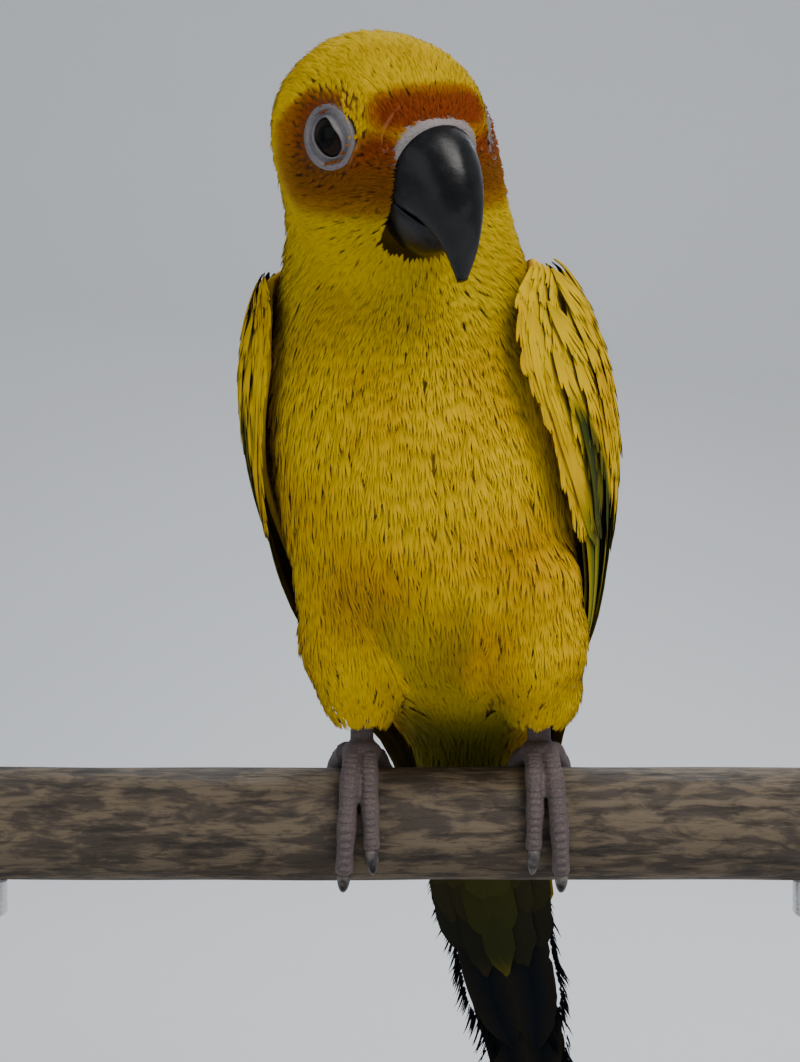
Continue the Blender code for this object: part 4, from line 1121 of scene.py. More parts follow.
class BodyPlumageOperator(bpy.types.Operator):
    """Adds the contour feathers of head, neck, body and legs, each along the lie of the coat"""

    bl_idname = "conure.body_plumage"
    bl_label = "Body plumage"

    def execute(self, context):
        spacing = settings().plumage.spacing * 1.0
        roots = np.concatenate([
            coat_roots(("head", "neck"), HEAD_TRIES, HEAD_SEED, spacing),
            coat_roots(("torso", "thigh_left", "thigh_right"), BODY_TRIES, BODY_SEED, spacing),
        ])
        reach = np.linalg.norm(roots - head_point(BEAK_ROOT), axis=1)
        up, high = head_place(roots)[:, 2], roots[:, 2]
        face = reach < FACE_REACH
        head = ~face & (reach < HEAD_REACH)
        on_leg = (legs_field(roots) < 0.0015) & (reach >= HEAD_REACH)
        body = (reach >= HEAD_REACH) & ~on_leg
        back = body & (roots[:, 1] > BACK_START)
        front = body & ~back
        breast = front & (high > BELLY_TOP) & (high <= BREAST_TOP)
        finish = plumage("contour_feathers", shade_root=0.80, soft=0.65)
        groups = (
            ("coat_face", face, 3, 5, head_unwrap, "head_feathers"),
            ("coat_crown", head & (up > CROWN_HEIGHT), 4, 6, head_unwrap, "head_feathers"),
            ("coat_cheeks", head & (up <= CROWN_HEIGHT), 4, 6, head_unwrap, "head_feathers"),
            ("coat_neck", front & (high > BREAST_TOP), 4, 7, body_unwrap, "body_feathers"),
            ("coat_breast", breast, 4, 8, body_unwrap, "body_feathers"),
            ("coat_belly", front & (high <= BELLY_TOP), 4, 8, body_unwrap, "body_feathers"),
            ("coat_back", back, 4, 7, body_unwrap, "body_feathers"),
            ("coat_legs", on_leg, 4, 7, leg_unwrap, "body_feathers"),
        )
        for seed, (name, chosen, stations, strands, unwrap, slot) in enumerate(groups, COAT_SEED):
            coat_piece(name, [contour_batch(roots[chosen], seed, stations, strands)], finish, unwrap, slot)
        return {"FINISHED"}


def on_bed(side, z, angle, lift):
    """Points and outward normals at heights, angles in degrees and lifts over one side of the body."""
    def place(z, angle):
        half_width, middle, half_depth = section(z, BED_SECTIONS)
        c, s = np.cos(np.radians(angle)), np.sin(np.radians(angle))
        power = SECTION_POWER
        reach = ((np.abs(c) / half_width) ** power + (np.abs(s) / half_depth) ** power) ** (-1 / power)
        return np.stack([SIDEWAYS_LEAN * z + side * reach * c, middle + reach * s, z], axis=-1)

    here = place(z, angle)
    normals = unit(side * np.cross(place(z, angle + 1) - here, place(z + 0.0005, angle) - here))
    return (here + normals * lift[..., None]) @ BODY_COLUMNS.T, normals @ BODY_COLUMNS.T


def wing_rise(side, z, angle):
    """How far the folded wing's outside stands off the body."""
    front, back, thickness = wing_span(z)
    share = np.clip((angle - front) / (back - front), 0.0, 1.0)
    round_edge = np.sqrt(np.clip(np.sin(np.clip(share * 0.94 + 0.04, 0, 1) * math.pi), 0, 1))
    return WING_BED + thickness * WING_LIFT[side] * round_edge


def wing_shades(kind, side, points, across, along):
    """How orange, green and dark a wing feather's points are, by its tier and its place on the wing."""
    x, y, z = body_place(points)
    _, middle, _ = section(z, BED_SECTIONS)
    angle = np.degrees(np.arctan2(y - middle, side * x))
    heights, centres, halves = np.array(WING_STRIPE).T
    off = np.abs(angle - np.interp(z, heights, centres)) / np.interp(z, heights, halves)
    stripe = swell(1.25, 0.75, off) * swell(0.0645, 0.0600, z) * swell(0.034, 0.043, z)
    edge = swell(0.50, 0.95, np.abs(across))
    if kind == "primaries":
        green = 0.55 * edge * swell(0.95, 0.6, along) + 0.1
        dark = 0.97 - 0.40 * edge * swell(0.9, 0.5, along)
    elif kind == "secondaries":
        green = 0.92 - 0.45 * edge
        dark = 0.34 * (1 - edge) + 0.5 * swell(0.90, 1.0, along)
    elif kind == "greater":
        low = swell(0.049, 0.043, z)
        green = np.maximum(0.06 + 0.70 * low, 0.9 * stripe)
        dark = np.maximum(0.35 * low * (1 - edge), stripe * (0.85 - 0.25 * edge))
    else:
        green = np.maximum(0.04, 0.7 * stripe)
        dark = 0.60 * stripe
    return np.stack([0 * along, green + 0 * along, dark + 0 * along], axis=-1)


def curves_through(marks, stations):
    """Smooth curves through each feather's marks: marks is (feathers, marks, values)."""
    t = np.linspace(0, 1, marks.shape[1])
    at = np.linspace(0, 1, stations)
    curves = [[through(t, column, at) for column in feather.T] for feather in marks]
    return np.array(curves).transpose(0, 2, 1)


def tier_rows(draw):
    """Long rows of a wing's feathers: kind, marks, width, lifts at root and tip, and stations."""
    rows = []
    for kind, count, width, low, high, first, last in TIERS:
        share = np.linspace(0, 1, count)[:, None, None]
        marks = np.array(first)[None] * (1 - share) + np.array(last)[None] * share
        marks[:, -1, 0] += draw.uniform(-0.0009, 0.0009, count)
        marks[:, :, 1] += draw.uniform(-0.7, 0.7, (count, 1))
        rows.append((kind, marks, width, low, high, 18 if len(first) > 3 else 12))
    return rows


def lesser_rows(draw):
    """Rows of small coverts over the upper wing, given as the long rows are."""
    rows = []
    for row, z in enumerate(LESSER_ROWS):
        front, back, _ = wing_span(z)
        front, back = front + 3, back - 3
        count = LESSER_COUNT - row
        share = (np.arange(count) + 0.5 * (row % 2) + draw.uniform(-0.2, 0.2, count)) / (count - 0.5)
        angle = front + (back - front) * np.clip(share, 0, 1)
        length = LESSER_LENGTH * draw.uniform(0.85, 1.15, count) * (1 - 0.05 * row)
        turn = 500 * (1 - share) + 120
        marks = [np.stack([z - length * part, angle + turn * length * part], axis=1) for part in (0, 0.5, 1)]
        low = 0.0013 + 0.00009 * row
        rows.append(("lesser", np.stack(marks, axis=1), LESSER_WIDTH, low, low + 0.0006, 7))
    return rows


def edge_rows(draw):
    """Rows of small coverts along the wing's front edge, given as the long rows are."""
    rows = []
    heights, fronts = np.array(WING_EDGE).T
    for column, step in enumerate(EDGE_COLUMNS):
        z = np.linspace(EDGE_START, heights[-1], EDGE_ROWS) + draw.uniform(-0.0006, 0.0006, EDGE_ROWS)
        z = z + 0.0009 * (column % 2)
        length = EDGE_LENGTH * draw.uniform(0.8, 1.15, EDGE_ROWS)
        places = [z - length * part for part in (0, 0.5, 1)]
        marks = [np.stack([at, np.interp(at, heights, fronts) + step], axis=1) for at in places]
        marks = np.stack(marks, axis=1)
        marks[:, :, 1] += draw.uniform(-1.5, 1.5, (EDGE_ROWS, 1))
        rows.append(("edge", marks, EDGE_WIDTH, 0.0009 + 0.0002 * column, 0.0012 + 0.0002 * column, 6))
    return rows


def wing_batches(side, draw):
    """Batches of one folded wing's feathers, each with its kind."""
    made = []
    for kind, marks, width, low, high, stations in tier_rows(draw) + lesser_rows(draw) + edge_rows(draw):
        z, angle = np.moveaxis(curves_through(marks, stations), -1, 0)
        t = np.linspace(0, 1, stations)
        lift = wing_rise(side, z, angle) + (low + (high - low) * t) * (0.5 + 0.5 * WING_LIFT[side])
        lift += draw.uniform(0, 0.00012, (len(z), 1))
        paths, normals = on_bed(side, z, angle, lift)
        widths = width * draw.uniform(0.93, 1.07, len(z))
        roots = paths[:, 0]
        if kind in STIFF_TIERS:
            outline = flight_outline if len(marks[0]) > 3 else contour_outline
            vane = vanes(paths, normals, widths, VANE_COLUMNS, draw, outline, stations, arch=0.14,
                         rounding=0.16, ragged=0.05, keel=0.035, tilt=-side * 0.10, split=0.16)
        else:
            strands = 11 if kind == "median" else 9
            length = np.linalg.norm(paths[:, -1] - paths[:, 0], axis=1)
            paths, normals = fanned(paths, normals, length, strands, draw, 0.48 * width / length.mean())
            roots = np.repeat(roots, strands, axis=0)
            widths = np.repeat(widths, strands) * draw.uniform(0.85, 1.15, len(paths)) * 1.35 / strands
            vane = strand_vanes(paths, normals, widths, draw, 6)
        made.append((kind, (vane, roots, wing_shades(kind, side, vane[0], vane[2], vane[3]))))
    return made


def wing_pad(side, label, finish):
    """The closed pad under a folded wing's feathers."""
    columns = 14
    share = np.linspace(0, 1, columns)
    rings = []
    for z in np.linspace(WING_ROWS[0][0], WING_ROWS[-1][0], 26):
        front, back, _ = wing_span(z)
        angle = front + (back - front) * share
        height = np.full(columns, z)
        outer, _ = on_bed(side, height, angle, wing_rise(side, height, angle))
        inner, _ = on_bed(side, height, angle, np.full(columns, WING_BED * 0.6))
        rings.append(np.concatenate([outer, inner[::-1]]))
    return lofted_piece("wing_pad_" + label, rings, finish)


def ring_faces(bm, pairs):
    """Faces between neighbouring rings of points."""
    for a, b in pairs:
        for i in range(len(a)):
            j = (i + 1) % len(a)
            bm.faces.new((a[i], a[j], b[j], b[i]))


def tip_faces(bm, ring, tip):
    """Faces between a ring of points and one point."""
    for i in range(len(ring)):
        bm.faces.new((ring[i], ring[(i + 1) % len(ring)], tip))


def lofted_piece(name, rings, finish, closed=False):
    """A closed mesh through rings of points of the same count: capped, or joined end to end."""
    bm = bmesh.new()
    verts = [[bm.verts.new(p + BIRD_PLACE) for p in ring] for ring in rings]
    ring_faces(bm, zip(verts, verts[1:] + verts[:1] if closed else verts[1:]))
    if not closed:
        for ring in (verts[0], verts[-1]):
            tip_faces(bm, ring, bm.verts.new(sum((v.co for v in ring), Vector()) / len(ring)))
    bmesh.ops.recalc_face_normals(bm, faces=bm.faces)
    mesh = mesh_of(name, bm)
    mesh.shade_smooth()
    mesh.materials.append(finish)
    return linked(name, mesh)


class WingsOperator(bpy.types.Operator):
    """Adds both folded wings: pad, primaries, secondaries and the tiers of coverts"""

    bl_idname = "conure.wings"
    bl_label = "Wings"

    def execute(self, context):
        finish = plumage("wing_vanes", count=34.0, slant=0.35, depth=0.00004, shade_root=0.7)
        under = plumage("contour_feathers")
        skin = plumage("wing_skin", shade_root=1.0)
        for side, label in SIDES:
            pad = wing_pad(side, label, skin)
            mesh_marks(pad, (0.0, 0.05, 0.0))
            settled(pad, "wing_feathers")
            stiff, soft = [], []
            for kind, batch in wing_batches(side, np.random.default_rng(WING_SEED + side)):
                (stiff if kind in STIFF_TIERS else soft).append(batch)
            coat_piece("wing_vanes_" + label, stiff, finish, wing_unwrap, "wing_feathers", "wing_" + label)
            coat_piece("wing_coverts_" + label, soft, under, wing_unwrap, "wing_feathers")
        return {"FINISHED"}


def mesh_marks(made, shade):
    """The same marks all over a piece, as the plumage materials read them."""
    count = len(made.data.vertices)
    point_attribute(made.data, "marks", "FLOAT_COLOR", np.tile((*shade, 1.0), (count, 1)))
    point_attribute(made.data, "vane", "FLOAT_VECTOR", np.tile((0.5, 0.5, 0.5), (count, 1)))


def tail_frame():
    way = TAIL_WAY / np.linalg.norm(TAIL_WAY)
    dorsal = BODY_COLUMNS[:, 1] - way * (BODY_COLUMNS[:, 1] @ way)
    dorsal /= np.linalg.norm(dorsal)
    return way, dorsal, np.cross(way, dorsal)


def tail_paths(marks, stations, out):
    """Centrelines along marks of distance along the tail, to the bird's left and to its back."""
    way, dorsal, left = tail_frame()
    along, across, lift = np.moveaxis(curves_through(marks, stations), -1, 0)
    paths = TAIL_ROOT + along[..., None] * way + across[..., None] * left + lift[..., None] * dorsal
    return paths, np.broadcast_to(dorsal * out, paths.shape)


def tail_batches(draw):
    """Batches of the tail: the long feathers of each side, then the coverts over and under it."""
    batches = []
    for side in (-1, 1):
        k = np.arange(TAIL_PAIRS)
        length = TAIL_LENGTH - TAIL_STEP * k + draw.uniform(-0.001, 0.001, TAIL_PAIRS)
        width = TAIL_VANE + TAIL_FAN * k
        lift = TAIL_TOP - TAIL_PITCH * k
        middle = side * (width / 2 - 0.0007)
        marks = [np.stack([0 * length + 0.004, middle * 0.8, lift * 0.9], axis=1)]
        for a, b, c in TAIL_MARKS:
            marks.append(np.stack([length * a, middle * b, lift * c], axis=1))
        paths, normals = tail_paths(np.stack(marks, axis=1), 26, 1)
        vane = vanes(paths, normals, width, 11, draw, flight_outline, TAIL_ROWS, arch=0.06, rounding=0.10,
                     ragged=0.02, keel=0.02, tilt=side * 0.06, split=0.5)
        edge = swell(0.35, 0.9, np.abs(vane[2]))
        green = 0.55 * (1 - edge) * swell(0.9, 0.5, vane[3])
        dark = 0.62 + 0.36 * np.maximum(edge, swell(0.4, 0.95, vane[3]))
        dark[:, -TAIL_ROWS:] = 1.0
        batches.append((vane, paths[:, 0], np.stack([0 * green, green, dark], axis=-1)))
    for side, lift, sink, tiers in TAIL_COVERTS:
        for tier, (count, length, width) in enumerate(tiers):
            share = np.linspace(-1, 1, count) + draw.uniform(-0.05, 0.05, count)
            across = share * COVERT_SPREAD / 2
            high = lift + tier * 0.0005 - np.abs(share) * 0.0012
            start = 0.002 - tier * 0.003 + 0 * share
            end = length * (1 - 0.12 * share**2) + draw.uniform(-0.001, 0.001, count)
            marks = np.stack([
                np.stack([start, across * 0.8, side * (sink + tier * 0.0004) + 0 * share], axis=1),
                np.stack([end * 0.6, across, side * high], axis=1),
                np.stack([end, across * 0.9, side * (high - 0.0006)], axis=1),
            ], axis=1)
            paths, normals = tail_paths(marks, 10, side)
            widths = width * draw.uniform(0.9, 1.1, count)
            vane = vanes(paths, normals, widths, VANE_COLUMNS, draw, contour_outline, 14, arch=0.12,
                         rounding=0.18, ragged=0.06, keel=0.03, split=0.3)
            t = vane[3]
            if side > 0:
                green, dark = 0.45 - 0.10 * tier + 0.2 * t, 0.22 - 0.07 * tier + 0.1 * t
            else:
                central = swell(0.55, 0.15, np.abs(share))[:, None]
                spot = (tier == 0) * swell(0.86, 0.97, t) * swell(0.30, 0.10, np.abs(share + 0.25))[:, None]
                green = 0.60 + 0.2 * central - 0.3 * spot
                dark = (0.96 - 0.09 * central - 0.03 * tier) * (1 - 0.70 * spot)
            shades = np.stack([0 * t, np.clip(green + 0 * t, 0, 1), np.clip(dark + 0 * t, 0, 1)], axis=-1)
            batches.append((vane, paths[:, 0], shades))
    return batches


def tail_unwrap(points):
    way, dorsal, left = tail_frame()
    local = points - TAIL_ROOT
    upper = (local @ dorsal > 0) * 0.5
    across = np.clip(local @ left / 0.04 + 0.25, 0, 0.5) + upper
    return np.stack([across, np.clip(local @ way / 0.13 + 0.1, 0, 1)], axis=-1)


class TailOperator(bpy.types.Operator):
    """Adds the tail: twelve long feathers, coverts above and below, and the loose barbs of its worn edges"""

    bl_idname = "conure.tail"
    bl_label = "Tail"

    def execute(self, context):
        draw = np.random.default_rng(TAIL_SEED)
        finish = plumage("tail_vanes", count=70.0, slant=0.16, depth=0.00005, shade_root=0.8)
        coat_piece("tail_coat", tail_batches(draw), finish, tail_unwrap, "tail_feathers", "tail")
        way, dorsal, left = tail_frame()
        places, ways, sizes = [], [], []
        for side in (-1, 1):
            for k in range(TAIL_PAIRS):
                length = TAIL_LENGTH - TAIL_STEP * k
                edge = side * (TAIL_VANE + TAIL_FAN * k) * 0.97
                reaches = draw.uniform(0.10, 0.97, FRINGE_COUNT)
                if k < TAIL_PAIRS - 1:
                    reaches = reaches[reaches * length > length - TAIL_STEP * 1.3]
                for reach in reaches:
                    along = reach * length
                    worn = swell(0.030, 0.012, abs(along - 0.026)) + swell(0.020, 0.006, length - along)
                    if draw.random() > 0.25 + 0.75 * worn:
                        continue
                    inset = 1 - 0.5 * swell(0.77, 1.0, reach)
                    lift = TAIL_TOP - TAIL_PITCH * k + draw.uniform(-0.0003, 0.0003)
                    places.append(TAIL_ROOT + way * along + left * edge * inset + dorsal * lift * 0.85)
                    out = draw.uniform(0.22, 0.50)
                    ways.append(way + left * side * out + dorsal * draw.uniform(-0.12, 0.12))
                    sizes.append(draw.uniform(0.0018, 0.0036) * (1 + 0.8 * worn))
        marks = np.tile((0.0, 0.05, 1.0, 1.0), (len(places), 1))
        fringe = set_on_guide("tail_fringe", barb_piece(), places, [dorsal] * len(places), ways, sizes,
                              finish, FRINGE_SEED, marks=marks)
        settled(fringe, "tail_feathers")
        return {"FINISHED"}


def guide_tree():
    """Sets a piece on each point of a guide, along the guide's own ways, in uneven sizes and turns."""
    name = "Set On Guide"
    if name in bpy.data.node_groups:
        return bpy.data.node_groups[name]
    tree = bpy.data.node_groups.new(name, "GeometryNodeTree")
    tree.interface.new_socket(name="Guide", in_out="INPUT", socket_type="NodeSocketGeometry")
    for label, kind in (("Piece", "Object"), ("Finish", "Material"), ("Uneven Size", "Float"),
                        ("Uneven Turn", "Float"), ("Seed", "Int")):
        tree.interface.new_socket(name=label, in_out="INPUT", socket_type="NodeSocket" + kind)
    tree.interface.new_socket(name="Pieces", in_out="OUTPUT", socket_type="NodeSocketGeometry")
    given = tree.nodes.new("NodeGroupInput").outputs
    out = tree.nodes.new("NodeGroupOutput").inputs
    points = put(tree, "GeometryNodeMeshToPoints", {"Mesh": given["Guide"]}).outputs[0]

    def named(label, kind):
        made = put(tree, "GeometryNodeInputNamedAttribute", {"Name": label}, data_type=kind)
        return made.outputs["Attribute"]

    rise = put(tree, "FunctionNodeAlignRotationToVector", {"Vector": named("rise", "FLOAT_VECTOR")}, axis="Z")
    lie = {"Rotation": rise.outputs[0], "Vector": named("way", "FLOAT_VECTOR")}
    along = put(tree, "FunctionNodeAlignRotationToVector", lie, axis="X", pivot_axis="Z")
    turn = put(tree, "FunctionNodeRandomValue", data_type="FLOAT_VECTOR")
    for number, sign in ((0, -1), (1, 1)):
        span = put(tree, "ShaderNodeVectorMath", {0: (sign, sign, sign)}, operation="SCALE")
        tree.links.new(given["Uneven Turn"], span.inputs["Scale"])
        tree.links.new(span.outputs[0], turn.inputs[number])
    tree.links.new(given["Seed"], turn.inputs["Seed"])
    turned_pair = {0: along.outputs[0], 1: turn.outputs[0]}
    spun = put(tree, "FunctionNodeRotateRotation", turned_pair, rotation_space="LOCAL")
    low = maths(tree, "SUBTRACT", 1.0, given["Uneven Size"])
    high = maths(tree, "ADD", 1.0, given["Uneven Size"])
    grow = put(tree, "FunctionNodeRandomValue", {2: low, 3: high, "Seed": given["Seed"]}, data_type="FLOAT")
    size = maths(tree, "MULTIPLY", named("size", "FLOAT"), grow.outputs[1])
    piece = put(tree, "GeometryNodeObjectInfo", {"Object": given["Piece"]}).outputs["Geometry"]
    instances = put(tree, "GeometryNodeInstanceOnPoints",
                    {"Points": points, "Instance": piece, "Rotation": spun.outputs[0], "Scale": size})
    real = put(tree, "GeometryNodeRealizeInstances", {0: instances.outputs[0]})
    final = put(tree, "GeometryNodeSetMaterial", {"Geometry": real.outputs[0], "Material": given["Finish"]})
    tree.links.new(final.outputs[0], out["Pieces"])
    return tree


def set_on_guide(name, piece, places, rises, ways, sizes, finish, seed, uneven=0.15, turn=0.12, **colours):
    """Copies of a small piece on places in the bird's frame, as one plain mesh in the row's frame."""
    guide_mesh = bpy.data.meshes.new(name + "_guide")
    guide_mesh.from_pydata([tuple(p) for p in np.asarray(places) + BIRD_PLACE], [], [])
    point_attribute(guide_mesh, "rise", "FLOAT_VECTOR", np.asarray(rises))
    point_attribute(guide_mesh, "way", "FLOAT_VECTOR", np.asarray(ways))
    point_attribute(guide_mesh, "size", "FLOAT", np.asarray(sizes))
    for label, values in colours.items():
        point_attribute(guide_mesh, label, "FLOAT_COLOR", values)
    guide = linked(name + "_guide", guide_mesh)
    modifier = guide.modifiers.new("pieces", "NODES")
    tree = guide_tree()
    modifier.node_group = tree
    values = {"Piece": piece, "Finish": finish, "Uneven Size": uneven, "Uneven Turn": turn, "Seed": seed}
    for item in tree.interface.items_tree:
        if item.item_type == "SOCKET" and item.in_out == "INPUT" and item.name in values:
            modifier[item.identifier] = values[item.name]
    mesh = plain_mesh(guide)
    mesh.name = name
    bpy.data.objects.remove(guide)
    bpy.data.objects.remove(piece)
    mesh.shade_smooth()
    mesh.set_sharp_from_angle(angle=PIECE_SHARP)
    return linked(name, mesh)


def small_piece(name, rings, sharp_end):
    """A small closed piece of unit size, from rings of a few points and, past the last, one point."""
    bm = bmesh.new()
    verts = [[bm.verts.new(p) for p in ring] for ring in rings]
    ring_faces(bm, zip(verts, verts[1:]))
    bm.faces.new(verts[0][::-1])
    tip_faces(bm, verts[-1], bm.verts.new(sharp_end))
    bmesh.ops.recalc_face_normals(bm, faces=bm.faces)
    return linked(name, mesh_of(name, bm))


def barb_piece():
    """One loose barb, 1 long along X: three-sided, bent and drawn out to a point."""
    rings = []
    for x, bend, size in ((0.0, 0.0, 0.055), (0.35, 0.02, 0.045), (0.7, 0.07, 0.028)):
        rings.append([(x, bend + size * math.cos(a), size * math.sin(a)) for a in (0.5, 2.6, 4.7)])
    return small_piece("barb", rings, (1.0, 0.14, 0.0))


def scute_piece():
    """One low plate of skin, 1 across Y: a rounded lozenge that rises from its edges."""
    rings = []
    for z, size in ((-0.20, 1.0), (0.0, 0.94), (0.10, 0.62)):
        rings.append([(0.30 * size * math.cos(a), 0.5 * size * math.sin(a), z)
                      for a in np.linspace(0, math.tau, 8, endpoint=False)])
    return small_piece("scute", rings, (0.0, 0.0, 0.13))


def beak_rings(stations, rows, shape=None):
    """Rings of points through the stations, in the head's frame, changed in shape where that is given."""
    flat = np.array([(*top, *bottom, half) for top, bottom, half in stations])
    at = np.linspace(0, 1, rows)
    values = np.array([through(np.linspace(0, 1, len(flat)), column, at) for column in flat.T]).T
    angles = np.linspace(0, math.tau, BEAK_SIDES, endpoint=False)
    rings = []
    for share, (top_f, top_u, low_f, low_u, half) in zip(at, values):
        middle = np.array([(top_f + low_f) / 2, (top_u + low_u) / 2])
        reach = np.array([(top_f - low_f) / 2, (top_u - low_u) / 2])
        rounded = np.sign(np.cos(angles)) * np.abs(np.cos(angles)) ** BEAK_POWER
        along = middle + np.outer(np.sin(angles), reach)
        ring = np.stack([along[:, 0], half * rounded, along[:, 1]], axis=1)
        rings.append(shape(ring, share, angles) if shape else ring)
    return rings


def upper_beak_shape(ring, share, angles):
    """A ridge along the culmen and a notch in the cutting edge."""
    ridge = np.exp(-((angles - math.pi / 2) / 0.30) ** 2) * 0.00018 * math.sin(share * math.pi)
    edge = np.exp(-((np.abs(angles - 1.5 * math.pi) - 0.55) / 0.35) ** 2)
    side = np.abs(np.cos(angles)) ** 1.5 * swell(0.2, -0.5, np.sin(angles)) * 0.0030 * (1 - share)
    dip, tooth = math.exp(-((share - 0.44) / 0.07) ** 2), math.exp(-((share - 0.58) / 0.06) ** 2)
    notch = edge * 0.0006 * (dip - 0.8 * tooth)
    return ring + np.stack([ridge, 0 * ridge, ridge * 0.5 + notch - side], axis=1)


def lower_beak_shape(ring, share, angles):
    """A shallow trough on the biting side, between walls that rise into the closed upper half."""
    trough = np.exp(-((angles - math.pi / 2) / 0.8) ** 2) * 0.0009
    wall = np.cos(angles) ** 2 * 0.0070 * (1 - 0.75 * share)
    return ring + np.stack([0.25 * wall, 0 * trough, wall - trough + 0.0007], axis=1)


def cere_shape(ring, share, angles):
    """Swollen skin with a pit for each nostril, drawn in at its front and back edges."""
    middle = ring.mean(0)
    swollen = 0.80 + 0.20 * float(swell(0.0, 0.6, share))
    ring = middle + (ring - middle) * swollen - (0, 0, 0.0007)
    ring[:, 2] -= 0.0003 * np.clip(np.sin(angles), 0, 1) ** 2
    for side in (-1, 1):
        place = np.array([NOSTRIL_PLACE[0], side * NOSTRIL_PLACE[1], NOSTRIL_PLACE[2]])
        pit = np.exp(-((np.linalg.norm(ring - place, axis=1) / 0.0009) ** 2))
        lip = np.exp(-(((np.linalg.norm(ring - place, axis=1) - 0.0014) / 0.0005) ** 2))
        inward = unit(middle - ring)
        ring = ring + inward * (pit * 0.0011 - lip * 0.0002)[:, None]
    return ring


def horn(name, base, tip_colour, roughness, scale):
    """Horn: layered growth lines, fine scratches and a dull bloom over a hard gloss."""
    made, tree, shader = new_material(name)
    place = object_place(tree)
    layers = noise(tree, stretched(tree, place, (220, 220, 900)), scale, 4.0, 0.6)
    bloom = noise(tree, place, 260.0, 4.0, 0.65)
    colour = mixed(tree, ranged(tree, bloom, 0.42, 0.75), (*base, 1), (*tip_colour, 1))
    feed(tree, shader, {
        "Base Color": shaded(tree, colour, add(tree, times(tree, layers, 0.5), 0.75)),
        "Roughness": ranged(tree, bloom, 0.3, 0.8, roughness - 0.08, roughness + 0.16),
        "Specular IOR Level": 0.3,
    })
    bumped(tree, shader, add(tree, times(tree, layers, 0.35), bloom), 0.00012, 0.7)
    return made


def bare_skin(name, colour, crease_colour, cell_scale, depth):
    """Bare skin: small rounded cells with darker creases and an uneven flush."""
    made, tree, shader = new_material(name)
    cells = put(tree, "ShaderNodeTexVoronoi", {"Vector": object_place(tree), "Scale": cell_scale},
                feature="DISTANCE_TO_EDGE")
    crease = ranged(tree, cells.outputs["Distance"], 0.16, 0.0)
    mottle = mottled(tree, 240.0, 0.5)
    flushed = shaded(tree, (*colour, 1), mottle)
    feed(tree, shader, {
        "Base Color": mixed(tree, times(tree, crease, 0.3), flushed, (*crease_colour, 1)),
        "Roughness": 0.60,
        "Specular IOR Level": 0.3,
    })
    bumped(tree, shader, maths(tree, "SUBTRACT", mottle, times(tree, crease, 0.6)), depth, 0.8)
    return made


class BeakOperator(bpy.types.Operator):
    """Adds both halves of the beak, and the cere with its nostrils"""

    bl_idname = "conure.beak"
    bl_label = "Beak and cere"

    def execute(self, context):
        colours = settings().bare
        finish = horn("beak_horn", colours.beak, colours.beak_bloom, 0.34, 1.0)
        for name, stations, rows, shape in (
            ("beak_upper_form", UPPER_BEAK, UPPER_ROWS, upper_beak_shape),
            ("beak_lower_form", LOWER_BEAK, LOWER_ROWS, lower_beak_shape),
        ):
            rings = [head_point(ring) for ring in beak_rings(stations, rows, shape)]
            settled(lofted_piece(name, rings, finish), "beak", name.replace("_form", ""))
        skin = bare_skin("cere_skin", colours.cere, (0.22, 0.16, 0.16), 900.0, 0.0001)
        rings = [head_point(ring) for ring in beak_rings(CERE, LOWER_ROWS, cere_shape)]
        settled(lofted_piece("cere_form", rings, skin), "cere", "cere")
        return {"FINISHED"}


def eye_axes(side):
    """The eye's middle in the bird's frame, its way out, and two ways across it, the second upwards."""
    place = eye_middle(side)
    out = unit(HEAD_AXES @ np.array([EYE_WAY[0], side * EYE_WAY[1], EYE_WAY[2]]))
    up = unit(HEAD_AXES[:, 2] - out * (HEAD_AXES[:, 2] @ out))
    return place, out, np.cross(up, out), up


def eye_ring_rings(side):
    """Rings round the eye, from inside the lid over its rim to the feathers, then back below the skin."""
    place, out, across, up = eye_axes(side)
    turn = np.linspace(0, math.tau, RING_SIDES, endpoint=False)
    ways = np.outer(np.cos(turn), across) + np.outer(np.sin(turn), up)
    lean = np.cos(2 * (turn - math.pi / 2 - side * RING_TILT))
    rings = []
    for k in range(RING_ROWS):
        share = k / (RING_ROWS - 1)
        reach = (LID_INNER + (RING_OUTER - LID_INNER) * share) * (1 + (0.22 - 0.13 * share) * lean)
        edge = place + ways * reach[:, None] + out * 0.002
        on_skin, _ = onto(flesh_field, edge, 0.0001)
        skin_height = (on_skin - place) @ out
        lid = np.sqrt(np.maximum((EYE_RADIUS + 0.00012) ** 2 - np.minimum(reach, 0.0036) ** 2, 1e-9))
        lid = lid + 0.00045 * math.exp(-((share - 0.10) / 0.12) ** 2)
        blend = swell(0.10, 0.75, share)
        height = lid * (1 - blend) + skin_height * blend
        folds = 0.00010 * np.sin(share * 5.5 * math.tau + 0.6 * np.sin(3 * turn)) * math.sin(share * math.pi)
        rings.append(place + ways * reach[:, None] + out * (height + folds)[:, None])
    last = rings[-1] - out * 0.0012 + ways * 0.0002
    first = rings[0] - out * 0.0008
    return rings + [last, (last + first) / 2 - out * 0.0006, first]


